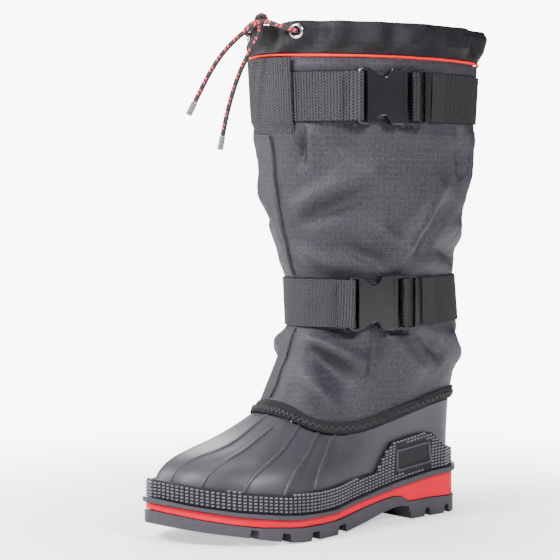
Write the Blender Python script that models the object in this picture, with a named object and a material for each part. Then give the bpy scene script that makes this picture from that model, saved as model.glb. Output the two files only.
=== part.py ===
"""Winter hunting boot for the left foot: a ribbed rubber galosh on a layered sole,
a tall padded nylon shaft, two buckled webbing straps and a drawcord in the cuff.

Metres, +Z up. The toe points to -X and the outer side, with the buckles, to -Y.
The origin is on the floor under the middle of the heel tread."""

import math

import bmesh
import bpy
import numpy as np
from mathutils import Matrix, Vector

# Sole and foot sizes
SOLE_LENGTH = 0.304
BALL_WIDTH = 0.115
HEEL_TO_ORIGIN = 0.040
SOLE_HEIGHT = 0.040
GALOSH_HEIGHT = 0.103
LUG_DEPTH = 0.0068
CENTRE_GROOVE = 0.009
GROOVE_SLOPE = 0.001
NOTCH_SLOPE = 0.0006
STATION_ROOM = 0.003
RED_INSET = 0.0012
LEDGE_PROUD = 0.0015
GALOSH_INSET = 0.0048
GALOSH_WALL = 0.0026
FOXING_THICK = 0.0026
RIB_HEIGHT = 0.0013
RIB_WIDTH = 0.0052
INSOLE_THICK = 0.004
INSOLE_EASE = 0.0025

# Shaft, cuff and binding sizes
BOOT_HEIGHT = 0.412
SHAFT_LENGTH = 0.217
SHAFT_WIDTH = 0.158
SHAFT_WALL = 0.0026
CENTRE_LINE_Y = 0.002
BINDING_WIDTH = 0.0095
BINDING_THICK = 0.0018
PIPING_RADIUS = 0.0014
PIPING_FALL = 0.0275
PIPING_HEIGHT = BOOT_HEIGHT - PIPING_FALL
PIPING_DROP = 0.004
CUFF_WALL = 0.0034
CUFF_DIP = 0.003
CUFF_BULGE = 0.0014
SEAM_WIDTH = 0.0045
SEAM_HEIGHT = 0.0014

# Straps and buckles
WEBBING_WIDTH = 0.039
WEBBING_THICK = 0.0018
STRAP_SHARES = (0.4466019417476, 0.8519417475728)
STRAP_LEVELS = tuple(share * BOOT_HEIGHT for share in STRAP_SHARES)
BUCKLE_SHARES = (0.318, 0.311)
STRAP_NAMES = ("lower", "upper")
STRAP_JOIN = 0.75
SOCKET_LENGTH = 0.041
SOCKET_WIDTH = 0.0450
SOCKET_THICK = 0.0095
FRAME_LENGTH = 0.0235
FRAME_THICK = 0.0055
PLASTIC_WALL = 0.0022
BUCKLE_EDGE = 0.0012
SLOT_EASE = 0.0006
BAR_HALF = 0.0020
SOCKET_BAR = 0.0036
SOCKET_SLOT = 0.0046
SOCKET_WEB = 0.0036
SOCKET_RIB = 0.0070
RIB_BITE = 0.0018
RIB_FLOOR = 0.0010
SOCKET_MOUTH = 0.20
PRONG_SHORT = 0.0160
FRAME_FRONT_BAR = 0.0042
FRAME_END_BAR = 0.0034
FRAME_BAR_PLACE = 0.52
FRAME_FRONT_CORNER = 0.002
FRAME_END_CORNER = 0.006
CUTTER_ROOM = 0.002
TAG_THICK = 0.0010
TAG_OFFSET = 0.004
SEAM_CLEAR = 0.0015
STRAP_LIFT = 0.004
STRAP_SETTLES = 0.030
STRAP_LEAVES = 0.012
REAR_CLEAR = 0.004
REAR_TUCK = 0.001
FOLD_EASE = 0.0004
JOIN_ROOM = 0.02
COLUMN_ROOM = 0.012
TAG_WIDTH = 0.014
KEEPER_WIDTH = 0.038
KEEPER_DROP = 0.0095
KEEPER_BOTTOM = STRAP_LEVELS[1] - WEBBING_WIDTH / 2 - KEEPER_DROP
KEEPER_STEP = 0.0040
KEEPER_EASE = 0.0005

# Drawcord
CORD_DIAMETER = 0.004
EYELET_RADIUS = 0.0062
EYELET_HOLE = 0.0034
EYELET_THICK = 0.0012
EYELET_SHARE = 0.441
EYELET_DROP = 0.009
KNOT_SIZE = (0.011, 0.010, 0.0155)
KNOT_RISE = 0.0095
KNOT_LEAN = 0.003
AGLET_LENGTH = 0.011
AGLET_DIAMETER = 0.005

# Places of the drawcord, from the shaft's top edge
EYELET_HEIGHT = BOOT_HEIGHT - EYELET_DROP
KNOT_HEIGHT = EYELET_HEIGHT + KNOT_RISE

# Distance kept between pieces that meet
GAP = 0.0003
SLACK_GAP = 0.0006

# Numbers of facets
SHAFT_COLUMNS = 40
GALOSH_COLUMNS = 42

# Outline of the tread, heel to toe on the outer side and back on the inner side.
# Columns: share of SOLE_LENGTH from the heel, share of BALL_WIDTH across.
OUTER_OUTLINE = (
    (0.000, 0.045), (0.008, -0.135), (0.033, -0.250), (0.085, -0.335), (0.215, -0.362), (0.444, -0.430),
    (0.589, -0.530), (0.684, -0.570), (0.773, -0.540), (0.849, -0.452), (0.918, -0.313), (0.960, -0.165),
    (0.988, -0.010), (1.000, 0.122),
)
INNER_OUTLINE = (
    (0.000, 0.045), (0.006, 0.135), (0.030, 0.237), (0.085, 0.315), (0.185, 0.346), (0.289, 0.332),
    (0.395, 0.330), (0.497, 0.360), (0.622, 0.420), (0.740, 0.452), (0.849, 0.440), (0.918, 0.385),
    (0.963, 0.300), (0.990, 0.205), (1.000, 0.122),
)

# Heights of the sole's layers along the foot, as shares of SOLE_HEIGHT.
# Columns: share of SOLE_LENGTH, tread bottom, red stripe's foot, red stripe's top, ledge top, foxing top.
SOLE_LEVELS = (
    (0.000, 0.020, 0.333, 0.888, 1.000, 1.340),
    (0.041, 0.000, 0.338, 0.875, 0.983, 1.315),
    (0.099, 0.000, 0.360, 0.850, 0.967, 1.290),
    (0.155, 0.000, 0.375, 0.825, 0.950, 1.262),
    (0.197, 0.000, 0.375, 0.788, 0.912, 1.225),
    (0.237, 0.000, 0.365, 0.750, 0.880, 1.190),
    (0.250, 0.275, 0.390, 0.740, 0.870, 1.180),
    (0.280, 0.312, 0.500, 0.715, 0.845, 1.150),
    (0.311, 0.300, 0.525, 0.688, 0.810, 1.120),
    (0.359, 0.238, 0.488, 0.638, 0.750, 1.075),
    (0.428, 0.112, 0.412, 0.573, 0.662, 1.025),
    (0.503, 0.025, 0.325, 0.500, 0.588, 0.975),
    (0.569, 0.000, 0.280, 0.433, 0.515, 0.930),
    (0.697, 0.000, 0.287, 0.432, 0.535, 0.915),
    (0.766, 0.062, 0.325, 0.475, 0.575, 0.950),
    (0.813, 0.120, 0.350, 0.517, 0.620, 0.990),
    (0.859, 0.185, 0.400, 0.563, 0.660, 1.040),
    (0.905, 0.240, 0.463, 0.625, 0.718, 1.095),
    (0.951, 0.300, 0.538, 0.695, 0.780, 1.160),
    (1.000, 0.380, 0.640, 0.770, 0.890, 1.270),
)

# How far the heel counter stands above the foxing.
# Columns: share of SOLE_LENGTH, share of SOLE_HEIGHT.
COUNTER_RISE = ((0.052, 0.020), (0.092, 0.130), (0.151, 0.500), (0.237, 0.560), (0.316, 0.540), (0.352, 0.300),
                (0.381, 0.020))

# One prong of a buckle's frame, from its root round the tip and back.
# Columns: share of the prong's reach, share of half SOCKET_WIDTH, corner as a share of SOCKET_WIDTH.
PRONG_SIDE = (
    (0.000, 0.769, 0.000), (0.407, 0.591, 0.067), (0.684, 0.724, 0.000), (1.000, 0.813, 0.022),
    (0.921, 0.502, 0.022), (0.368, 0.369, 0.067), (0.079, 0.324, 0.000),
)

# Grooves across the tread that show as notches in its side.
# Columns: share of SOLE_LENGTH at the middle, share of SOLE_LENGTH wide.
GROOVE_REACH = (0.52, 0.95)
ARCH_REACH = (0.235, 0.50)
TREAD_GROOVES = ((0.092, 0.020), (0.171, 0.020), (0.536, 0.036), (0.652, 0.029), (0.749, 0.026), (0.831, 0.021))

# Top edge of the galosh around the foot.
# Columns: share of the half turn from the heel to the front, share of GALOSH_HEIGHT.
GALOSH_EDGE = ((0.00, 0.920), (0.16, 0.932), (0.286, 0.935), (0.411, 0.884), (0.508, 0.817), (0.592, 0.757),
               (0.652, 0.742), (0.733, 0.780), (0.813, 0.861), (0.90, 0.915), (1.00, 0.932))

# Which point of the sole's outline stands below each point of the shaft.
# Columns: share of the half turn round the shaft, share of the half turn round the outline.
SHAFT_TO_SOLE = ((0.00, 0.00), (0.14, 0.072), (0.282, 0.155), (0.428, 0.268), (0.518, 0.347), (0.608, 0.437),
                 (0.68, 0.540), (0.72, 0.610), (0.78, 0.688), (0.84, 0.770), (0.90, 0.858), (0.94, 0.920),
                 (1.00, 1.00))

# Rows of the galosh from the foxing's top to its own top edge.
# Columns: share inward and share upward at the toe, at the ball, at the waist and at the heel.
GALOSH_ROWS = (
    (0.00, 0.00, 0.00, 0.00, 0.00, 0.00, 0.00, 0.00),
    (0.03, 0.12, 0.02, 0.17, 0.10, 0.14, 0.10, 0.13),
    (0.11, 0.29, 0.09, 0.36, 0.24, 0.28, 0.20, 0.26),
    (0.29, 0.41, 0.23, 0.54, 0.38, 0.42, 0.32, 0.40),
    (0.48, 0.47, 0.41, 0.68, 0.52, 0.56, 0.48, 0.54),
    (0.66, 0.57, 0.60, 0.79, 0.68, 0.70, 0.64, 0.69),
    (0.85, 0.76, 0.80, 0.89, 0.84, 0.85, 0.82, 0.85),
    (1.00, 1.00, 1.00, 1.00, 1.00, 1.00, 1.00, 1.00),
)
ROW_STATIONS = (1.00, 0.72, 0.42, 0.00)

# Raised ribs of the galosh, as shares of the half turn round the shaft.
OUTER_RIBS = (0.72, 0.78, 0.84, 0.90, 0.945)
INNER_RIBS = (0.74, 0.81, 0.88, 0.95)

# Sections of the shaft, bottom to top.
# Columns: share of BOOT_HEIGHT, middle behind the heel's back as a share of SHAFT_LENGTH,
# share of SHAFT_LENGTH long, share of SHAFT_WIDTH wide.
SHAFT_SECTIONS = (
    (0.170, -0.468, 0.986, 0.582),
    (0.235, -0.451, 0.957, 0.591),
    (0.250, -0.430, 0.924, 0.580),
    (0.280, -0.408, 0.892, 0.592),
    (0.313, -0.388, 0.876, 0.615),
    (0.345, -0.373, 0.848, 0.628),
    (0.376, -0.352, 0.802, 0.630),
    (0.437, -0.355, 0.784, 0.640),
    (0.500, -0.370, 0.771, 0.667),
    (0.534, -0.385, 0.793, 0.708),
    (0.590, -0.388, 0.862, 0.805),
    (0.631, -0.394, 0.898, 0.863),
    (0.699, -0.400, 0.922, 0.911),
    (0.799, -0.396, 0.964, 0.967),
    (0.910, -0.396, 0.990, 0.992),
    (0.935, -0.394, 1.000, 1.000),
    (0.971, -0.382, 1.020, 1.012),
    (1.000, -0.392, 1.008, 0.992),
)

# Side of the buckle's socket, from its back to its mouth, with the dip that shows the prong.
# Columns: share of SOCKET_LENGTH, share of half SOCKET_WIDTH, corner as a share of SOCKET_WIDTH.
SOCKET_SIDE = (
    (0.00, 1.00, 0.089), (0.26, 1.00, 0.111), (0.50, 0.68, 0.150), (0.64, 0.70, 0.085), (0.74, 1.00, 0.044),
    (1.00, 1.00, 0.044),
)

# Heights of the shaft's corners between the straps, as shares of BOOT_HEIGHT.
SHAFT_FOLDS = (0.311, 0.354, 0.544, 0.595, 0.694)

# Route of the drawcord's two hanging ends, from the knot to the aglet, as distances from the knot's middle.
FIRST_END_ROUTE = (
    (-0.00537, 0.00180, -0.00400), (-0.01107, 0.00750, -0.00930), (-0.01757, 0.01550, -0.01800),
    (-0.02427, 0.02380, -0.03000), (-0.03007, 0.03100, -0.04450), (-0.03407, 0.03600, -0.05650),
    (-0.03707, 0.03950, -0.06550),
)
SECOND_END_ROUTE = (
    (-0.00157, -0.00220, -0.00820), (-0.00457, -0.00140, -0.01450), (-0.00987, 0.00250, -0.02550),
    (-0.01457, 0.00880, -0.04100), (-0.01757, 0.01450, -0.05750), (-0.01957, 0.01950, -0.07450),
    (-0.02107, 0.02350, -0.09250),
)

MATERIALS = {
    "galosh_rubber": ((0.075, 0.066, 0.074), 0.42, 0.0),
    "tread_rubber": ((0.060, 0.058, 0.064), 0.70, 0.0),
    "red_midsole": ((0.80, 0.05, 0.07), 0.50, 0.0),
    "grey_nylon": ((0.060, 0.056, 0.066), 0.78, 0.0),
    "binding_tape": ((0.012, 0.012, 0.014), 0.80, 0.0),
    "red_piping": ((0.75, 0.06, 0.03), 0.60, 0.0),
    "webbing": ((0.050, 0.048, 0.054), 0.82, 0.0),
    "dark_webbing": ((0.028, 0.027, 0.030), 0.82, 0.0),
    "buckle_plastic": ((0.028, 0.028, 0.032), 0.38, 0.0),
    "tag_leather": ((0.020, 0.019, 0.021), 0.55, 0.0),
    "eyelet_metal": ((0.62, 0.62, 0.64), 0.25, 1.0),
    "cord_braid": ((0.020, 0.018, 0.020), 0.85, 0.0),
    "clear_aglet": ((0.55, 0.56, 0.58), 0.20, 0.0),
    "insole_felt": ((0.14, 0.13, 0.14), 0.92, 0.0),
}


def start_clean():
    for thing in list(bpy.data.objects):
        bpy.data.objects.remove(thing, do_unlink=True)


def make_material(name):
    colour, roughness, metallic = MATERIALS[name]
    material = bpy.data.materials.get(name) or bpy.data.materials.new(name)
    material.use_nodes = True
    shader = material.node_tree.nodes["Principled BSDF"]
    shader.inputs["Base Color"].default_value = (*colour, 1.0)
    shader.inputs["Roughness"].default_value = roughness
    shader.inputs["Metallic"].default_value = metallic
    return material


def add_object(name, mesh, material, smooth_angle=40.0):
    """Puts a mesh in the scene under its own name, with its faces turned outwards."""
    mesh.name = name
    shape = bmesh.new()
    shape.from_mesh(mesh)
    bmesh.ops.recalc_face_normals(shape, faces=shape.faces)
    shape.to_mesh(mesh)
    shape.free()
    mesh.shade_smooth()
    mesh.set_sharp_from_angle(angle=math.radians(smooth_angle))
    thing = bpy.data.objects.new(name, mesh)
    thing.data.materials.append(make_material(material))
    bpy.context.scene.collection.objects.link(thing)
    return thing


def mesh_of(points, faces):
    mesh = bpy.data.meshes.new("shape")
    mesh.from_pydata([tuple(point) for point in points], [], faces)
    mesh.update()
    return mesh


def smooth_curve(table, column, place):
    """Reads one column of a table at a place, on a smooth curve that never overshoots."""
    xs = np.array([row[0] for row in table])
    ys = np.array([row[column] for row in table])
    place = float(np.clip(place, xs[0], xs[-1]))
    rises = np.diff(ys) / np.diff(xs)
    slopes = np.zeros(len(xs))
    for i in range(1, len(xs) - 1):
        if rises[i - 1] * rises[i] > 0:
            slopes[i] = 2 * rises[i - 1] * rises[i] / (rises[i - 1] + rises[i])
    slopes[0], slopes[-1] = rises[0], rises[-1]
    i = int(np.clip(np.searchsorted(xs, place) - 1, 0, len(xs) - 2))
    width = xs[i + 1] - xs[i]
    t = (place - xs[i]) / width
    start, end = ys[i], ys[i + 1]
    return float((2 * t**3 - 3 * t**2 + 1) * start + (t**3 - 2 * t**2 + t) * width * slopes[i]
                 + (3 * t**2 - 2 * t**3) * end + (t**3 - t**2) * width * slopes[i + 1])


def spline_through(points, steps):
    """Points on a Catmull-Rom curve through the given points."""
    points = [np.array(point, float) for point in points]
    padded = [2 * points[0] - points[1]] + points + [2 * points[-1] - points[-2]]
    curve = []
    for i in range(1, len(padded) - 2):
        before, start, end, after = padded[i - 1:i + 3]
        for step in range(steps):
            t = step / steps
            curve.append(0.5 * (2 * start + (end - before) * t + (2 * before - 5 * start + 4 * end - after) * t**2
                                + (3 * start - before - 3 * end + after) * t**3))
    curve.append(points[-1])
    return np.array(curve)


def sole_x(share):
    """World X of a share of the sole's length, counted from the back of the heel."""
    return HEEL_TO_ORIGIN - share * SOLE_LENGTH


def length_share(x):
    return (HEEL_TO_ORIGIN - x) / SOLE_LENGTH


def side_line(table):
    """One side of the tread's outline with the length walked along it."""
    curve = spline_through([(sole_x(along), across * BALL_WIDTH) for along, across in table], 12)
    walked = np.concatenate([[0.0], np.cumsum(np.linalg.norm(np.diff(curve, axis=0), axis=1))])
    return curve, walked / walked[-1]


OUTER_LINE = side_line(OUTER_OUTLINE)
INNER_LINE = side_line(INNER_OUTLINE)


def outline_point(turn, inset=0.0):
    """Point of the outline at a share of the whole turn: 0 heel, 0.25 outer side, 0.5 toe, 0.75 inner side."""
    turn = turn % 1.0

    def on_line(share):
        share = share % 1.0
        curve, walked = OUTER_LINE if share <= 0.5 else INNER_LINE
        half = share * 2 if share <= 0.5 else (1 - share) * 2
        return np.array([np.interp(half, walked, curve[:, 0]), np.interp(half, walked, curve[:, 1])])

    step = 0.004
    ahead, behind = on_line(turn + step), on_line(turn - step)
    along = (ahead - behind) / np.linalg.norm(ahead - behind)
    inward = np.array([-along[1], along[0]]) * -1.0
    return on_line(turn) + inward * inset


def sole_level(x, column):
    return smooth_curve(SOLE_LEVELS, column, length_share(x)) * SOLE_HEIGHT


TREAD_BOTTOM_COLUMN, RED_FOOT_COLUMN, RED_TOP_COLUMN, LEDGE_TOP_COLUMN, FOXING_TOP_COLUMN = 1, 2, 3, 4, 5


def counter_top(x):
    """Top edge of the foxing, with the heel counter that rises from it."""
    share = length_share(x)
    rise = COUNTER_RISE[0][1]
    if COUNTER_RISE[0][0] < share < COUNTER_RISE[-1][0]:
        rise = smooth_curve(COUNTER_RISE, 1, share)
    return sole_level(x, FOXING_TOP_COLUMN) + rise * SOLE_HEIGHT


def half_turn(turn):
    """Share of the half turn from the heel to the front, the same on both sides."""
    turn = turn % 1.0
    return 2 * min(turn, 1 - turn)


def shaft_section(z):
    share = z / BOOT_HEIGHT
    middle = HEEL_TO_ORIGIN + smooth_curve(SHAFT_SECTIONS, 1, share) * SHAFT_LENGTH
    half_length = smooth_curve(SHAFT_SECTIONS, 2, share) * SHAFT_LENGTH / 2
    half_width = smooth_curve(SHAFT_SECTIONS, 3, share) * SHAFT_WIDTH / 2
    return middle, half_length, half_width


def shaft_point(turn, z, out=0.0):
    """Point on the shaft at a share of the turn (0 heel, 0.25 outer side, 0.5 front) and a height."""
    middle, half_length, half_width = shaft_section(z)
    angle = 2 * math.pi * turn
    place = np.array([middle + half_length * math.cos(angle), CENTRE_LINE_Y - half_width * math.sin(angle)])
    normal = np.array([math.cos(angle) / half_length, -math.sin(angle) / half_width])
    normal /= np.linalg.norm(normal)
    place = place + normal * out
    return np.array([place[0], place[1], z])


def galosh_edge(turn):
    return smooth_curve(GALOSH_EDGE, 1, half_turn(turn)) * GALOSH_HEIGHT


def sole_turn(turn):
    """Share of the turn round the outline that stands below a share of the turn round the shaft."""
    half = smooth_curve(SHAFT_TO_SOLE, 1, half_turn(turn)) / 2
    return half if turn % 1.0 <= 0.5 else 1 - half


def shaft_turn(turn):
    """Share of the turn round the shaft above a share of the turn round the outline."""
    halves = np.linspace(0.0, 0.5, 101)
    half = float(np.interp(half_turn(turn) / 2, [sole_turn(step) for step in halves], halves))
    return half if turn % 1.0 <= 0.5 else 1 - half


def galosh_column(turn):
    """Points of the galosh's outer face from the ledge up to its top edge."""
    below = outline_point(sole_turn(turn), GALOSH_INSET)
    foot = sole_level(below[0], LEDGE_TOP_COLUMN) + SLACK_GAP
    start = sole_level(below[0], FOXING_TOP_COLUMN)
    above = shaft_point(turn, galosh_edge(turn))
    points = [np.array([below[0], below[1], foot])]
    station = half_turn(turn)
    for row in GALOSH_ROWS:
        inward = np.interp(station, ROW_STATIONS[::-1], row[0::2][::-1])
        upward = np.interp(station, ROW_STATIONS[::-1], row[1::2][::-1])
        plan = below + (above[:2] - below) * inward
        points.append(np.array([plan[0], plan[1], start + (above[2] - start) * upward]))
    return np.array(points)


def galosh_point(turn, z):
    column = galosh_column(turn)
    return np.array([np.interp(z, column[:, 2], column[:, axis]) for axis in range(2)] + [z])


def galosh_normal(turn, z):
    step_turn, step_z = 0.004, 0.0015
    column = galosh_column(turn)
    low = max(z - step_z, column[0, 2])
    high = min(z + step_z, column[-1, 2])
    across = galosh_point(turn + step_turn, z) - galosh_point(turn - step_turn, z)
    upward = galosh_point(turn, high) - galosh_point(turn, low)
    normal = np.cross(upward, across)
    return normal / np.linalg.norm(normal)


def grid_normals(grid):
    """Outward normals of a grid of points that closes on itself along its first axis."""
    across = np.roll(grid, -1, axis=0) - np.roll(grid, 1, axis=0)
    upward = np.gradient(grid, axis=1)
    normals = np.cross(upward, across)
    return normals / np.linalg.norm(normals, axis=2, keepdims=True)


def wall_faces(a, b, c, d, shift):
    """Outer and inner triangles of one patch of a wall, split along the same diagonal."""
    return [(a, b, c), (a, c, d), (shift + c, shift + b, shift + a), (shift + d, shift + c, shift + a)]


def closed_band(outer, inner):
    """Faces of a wall between two grids, closed round the boot, with a rim at the foot and at the top."""
    columns, rows = outer.shape[:2]
    points = list(outer.reshape(-1, 3)) + list(inner.reshape(-1, 3))
    shift = columns * rows
    faces = []
    for i in range(columns):
        j = (i + 1) % columns
        for k in range(rows - 1):
            a, b, c, d = i * rows + k, j * rows + k, j * rows + k + 1, i * rows + k + 1
            faces += wall_faces(a, b, c, d, shift)
        for k in (0, rows - 1):
            faces.append((i * rows + k, j * rows + k, shift + j * rows + k, shift + i * rows + k))
    return mesh_of(points, faces)


def open_band(outer, inner):
    """A wall between two grids that ends at its first and last columns."""
    columns, rows = outer.shape[:2]
    points = list(outer.reshape(-1, 3)) + list(inner.reshape(-1, 3))
    shift = columns * rows
    faces = []
    for i in range(columns - 1):
        for k in range(rows - 1):
            a, b, c, d = i * rows + k, (i + 1) * rows + k, (i + 1) * rows + k + 1, i * rows + k + 1
            faces += wall_faces(a, b, c, d, shift)
        for k in (0, rows - 1):
            faces.append((i * rows + k, (i + 1) * rows + k, shift + (i + 1) * rows + k, shift + i * rows + k))
    for i in (0, columns - 1):
        for k in range(rows - 1):
            faces.append((i * rows + k, i * rows + k + 1, shift + i * rows + k + 1, shift + i * rows + k))
    return mesh_of(points, faces)


def sole_stations():
    """Shares of the sole's length where every layer has its corners."""
    ends = [0.003, 0.011, 0.024, 0.068, 0.127, 0.632, 0.730, 0.882, 0.929, 0.970, 0.984, 0.994, 0.9985]
    return sorted([row[0] for row in SOLE_LEVELS] + ends)


def station_turn(line, share):
    """Share of the half turn on one side of the outline that lies at a share of the sole's length."""
    curve, walked = line
    return float(np.interp(share, (HEEL_TO_ORIGIN - curve[:, 0]) / SOLE_LENGTH, walked))


def slab(name, inset, low, high, material):
    """A layer of the sole between two height curves, with the foot's outline."""
    stations = sole_stations()
    ring = [station_turn(OUTER_LINE, share) / 2 for share in stations]
    ring += [1 - station_turn(INNER_LINE, share) / 2 for share in stations[-2:0:-1]]
    places = [outline_point(turn, inset) for turn in ring]
    points = [(x, y, low(x)) for x, y in places] + [(x, y, high(x)) for x, y in places]
    count = len(ring)
    faces = []
    for i in range(count):
        j = (i + 1) % count
        faces.append((i, j, count + j, count + i))
    half = count // 2
    for i in range(half):
        a, b, c, d = i, i + 1, (count - i - 1) % count, (count - i) % count
        quad = [a, b, c, d]
        ends = list(dict.fromkeys(quad))
        faces.append(tuple(ends))
        faces.append(tuple(count + corner for corner in reversed(ends)))
    return add_object(name, mesh_of(points, faces), material)


def groove_at(share):
    return any(abs(share - middle) < width / 2 for middle, width in TREAD_GROOVES)


def make_outsole():
    """The tread: a slab with lugs either side of a centre groove and notches that open at the sides."""
    edges = []
    wall = NOTCH_SLOPE / SOLE_LENGTH
    for middle, width in TREAD_GROOVES:
        edges += [middle - width / 2 - wall, middle - width / 2 + wall]
        edges += [middle + width / 2 - wall, middle + width / 2 + wall]
    plain = [share for share in sole_stations()
             if 0 < share < 1 and all(abs(share - edge) > STATION_ROOM for edge in edges)]
    shares = sorted(edges + plain)
    points, faces = [], []

    def side_at(line, x):
        curve = line[0]
        order = np.argsort(curve[:, 0])
        return float(np.interp(x, curve[order, 0], curve[order, 1]))

    for share in shares:
        x = sole_x(share)
        outer, inner = side_at(OUTER_LINE, x), side_at(INNER_LINE, x)
        middle = (outer + inner) / 2
        half = CENTRE_GROOVE / 2
        across = (outer, middle - half - GROOVE_SLOPE, middle - half,
                  middle + half, middle + half + GROOVE_SLOPE, inner)
        bottom = sole_level(x, TREAD_BOTTOM_COLUMN)
        arch = ARCH_REACH[0] < share < ARCH_REACH[1]
        depth = 0.0 if arch else LUG_DEPTH
        top = sole_level(x, RED_FOOT_COLUMN)
        raised = groove_at(share)
        for j, y in enumerate(across):
            centre = j in (2, 3) and GROOVE_REACH[0] < share < GROOVE_REACH[1]
            points.append((x, y, bottom + (depth if raised or centre else 0.0)))
        points.append((x, outer, top))
        points.append((x, inner, top))
    per = 8
    for i in range(len(shares) - 1):
        a, b = i * per, (i + 1) * per
        for j in range(5):
            faces.append((a + j, a + j + 1, b + j + 1, b + j))
        faces.append((a + 6, b + 6, b + 7, a + 7))
        faces.append((a, b, b + 6, a + 6))
        faces.append((a + 5, a + 7, b + 7, b + 5))
    last = (len(shares) - 1) * per
    for base, tip, order in ((0, 0.0, 1), (last, 1.0, -1)):
        x = sole_x(tip)
        y = (OUTER_OUTLINE[0] if tip == 0.0 else OUTER_OUTLINE[-1])[1] * BALL_WIDTH
        low = len(points)
        points.append((x, y, sole_level(x, TREAD_BOTTOM_COLUMN)))
        points.append((x, y, sole_level(x, RED_FOOT_COLUMN)))
        for j in range(5):
            faces.append((base + j, base + j + 1, low)[::order])
        faces.append((base + 6, base + 7, low + 1)[::-order])
        faces.append((base, base + 6, low + 1, low)[::order])
        faces.append((base + 5, base + 7, low + 1, low)[::-order])
    return add_object("outsole", mesh_of(points, faces), "tread_rubber", 30.0)


def make_sole_layers():
    slab("midsole_red", RED_INSET,
         lambda x: sole_level(x, RED_FOOT_COLUMN) + SLACK_GAP, lambda x: sole_level(x, RED_TOP_COLUMN),
         "red_midsole")
    slab("sole_ledge", -LEDGE_PROUD,
         lambda x: sole_level(x, RED_TOP_COLUMN) + SLACK_GAP, lambda x: sole_level(x, LEDGE_TOP_COLUMN),
         "tread_rubber")
    slab("insole", GALOSH_INSET + GALOSH_WALL + INSOLE_EASE,
         lambda x: sole_level(x, LEDGE_TOP_COLUMN) + SLACK_GAP,
         lambda x: sole_level(x, LEDGE_TOP_COLUMN) + SLACK_GAP + INSOLE_THICK, "insole_felt")


def galosh_turns():
    """Shares of the turn where the galosh has its columns, three at each rib."""
    ribs = [share / 2 for share in OUTER_RIBS] + [1 - share / 2 for share in INNER_RIBS]
    rib_half = RIB_WIDTH / 2 / (math.pi * (SHAFT_LENGTH + SHAFT_WIDTH) / 2)
    taken = [rib + side * rib_half for rib in ribs for side in (-1, 0, 1)]
    corners = [counter_turn(row[0]) for row in COUNTER_RISE[1:]]
    taken += corners + [1 - corner for corner in corners]
    even = [shaft_turn(i / GALOSH_COLUMNS) for i in range(GALOSH_COLUMNS)]
    kept = [turn for turn in even if all(abs(turn - other) > 0.009 for other in taken)]
    return sorted(taken + kept), ribs


def counter_turn(share):
    """Share of the turn round the shaft whose column stands at a share of the sole's length."""
    turns = np.linspace(0.0, 0.45, 181)
    shares = [length_share(outline_point(sole_turn(turn), GALOSH_INSET)[0]) for turn in turns]
    return float(np.interp(share, shares, turns))


def make_galosh():
    turns, ribs = galosh_turns()
    outer = np.array([galosh_column(turn) for turn in turns])
    normals = grid_normals(outer)
    inner = outer - normals * GALOSH_WALL
    inner[:, 0, 2] = [sole_level(x, LEDGE_TOP_COLUMN) + SLACK_GAP for x in inner[:, 0, 0]]
    inner[:, -1, 2] = outer[:, -1, 2]
    for i, turn in enumerate(turns):
        if any(abs(turn - rib) < 1e-6 for rib in ribs):
            outer[i, 2:-1] += normals[i, 2:-1] * RIB_HEIGHT
    return add_object("galosh", closed_band(outer, inner), "galosh_rubber", 35.0)


def make_foxing():
    turns = galosh_turns()[0]
    outer, inner = [], []
    for turn in turns:
        place = outline_point(sole_turn(turn), GALOSH_INSET)
        foot = sole_level(place[0], LEDGE_TOP_COLUMN) + SLACK_GAP
        line = sole_level(place[0], FOXING_TOP_COLUMN)
        levels = (foot, line, counter_top(place[0]))
        column_in, column_out = [], []
        for level in levels:
            point, normal = galosh_point(turn, level), galosh_normal(turn, level)
            column_in.append(point + normal * GAP * 1.4)
            column_out.append(point + normal * (GAP * 1.4 + FOXING_THICK))
            column_in[-1][2] = column_out[-1][2] = level
        for column in (column_in, column_out):
            column[0][2] = sole_level(column[0][0], LEDGE_TOP_COLUMN) + SLACK_GAP
        outer.append(column_out)
        inner.append(column_in)
    return add_object("foxing", closed_band(np.array(outer), np.array(inner)), "galosh_rubber", 35.0)


def shaft_turns():
    return [i / SHAFT_COLUMNS for i in range(SHAFT_COLUMNS)]


def piping_level(turn):
    return PIPING_HEIGHT - PIPING_DROP * (1 - half_turn(turn))


def cuff_top(turn):
    front = max(0.0, (half_turn(turn) - 0.86) / 0.14)
    return BOOT_HEIGHT - 0.003 * (1 - half_turn(turn)) - CUFF_DIP * front**2


def strap_edges():
    return [level + side * WEBBING_WIDTH / 2 for level in STRAP_LEVELS for side in (-1, 1)]


def shaft_levels(turn):
    """Heights where the shaft has its corners, from the galosh's edge to the piping."""
    foot = galosh_edge(turn) + SLACK_GAP
    top = piping_level(turn) - PIPING_RADIUS - GAP
    folds = [share * BOOT_HEIGHT for share in SHAFT_FOLDS]
    return [foot, foot + BINDING_WIDTH] + sorted(strap_edges() + folds) + [top]


def shaft_face(turn, z, out=0.0):
    """Point on the shaft's faceted outer face, or a distance out from it."""
    levels = shaft_levels(turn)
    places = np.array([shaft_point(turn, level, out) for level in levels])
    return np.array([np.interp(z, levels, places[:, axis]) for axis in range(2)] + [z])


def make_shaft():
    outer, inner = [], []
    for turn in shaft_turns():
        levels = shaft_levels(turn)
        outer.append([shaft_point(turn, z) for z in levels])
        inner.append([shaft_point(turn, z, -SHAFT_WALL) for z in levels])
    return add_object("shaft", closed_band(np.array(outer), np.array(inner)), "grey_nylon", 50.0)


def make_binding():
    outer, inner = [], []
    for turn in shaft_turns():
        foot = galosh_edge(turn) + SLACK_GAP
        top = foot + BINDING_WIDTH
        inner.append([shaft_point(turn, z, GAP) for z in (foot, top)])
        outer.append([shaft_point(turn, z, GAP + BINDING_THICK) for z in (foot, top)])
    return add_object("binding", closed_band(np.array(outer), np.array(inner)), "binding_tape")


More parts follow.
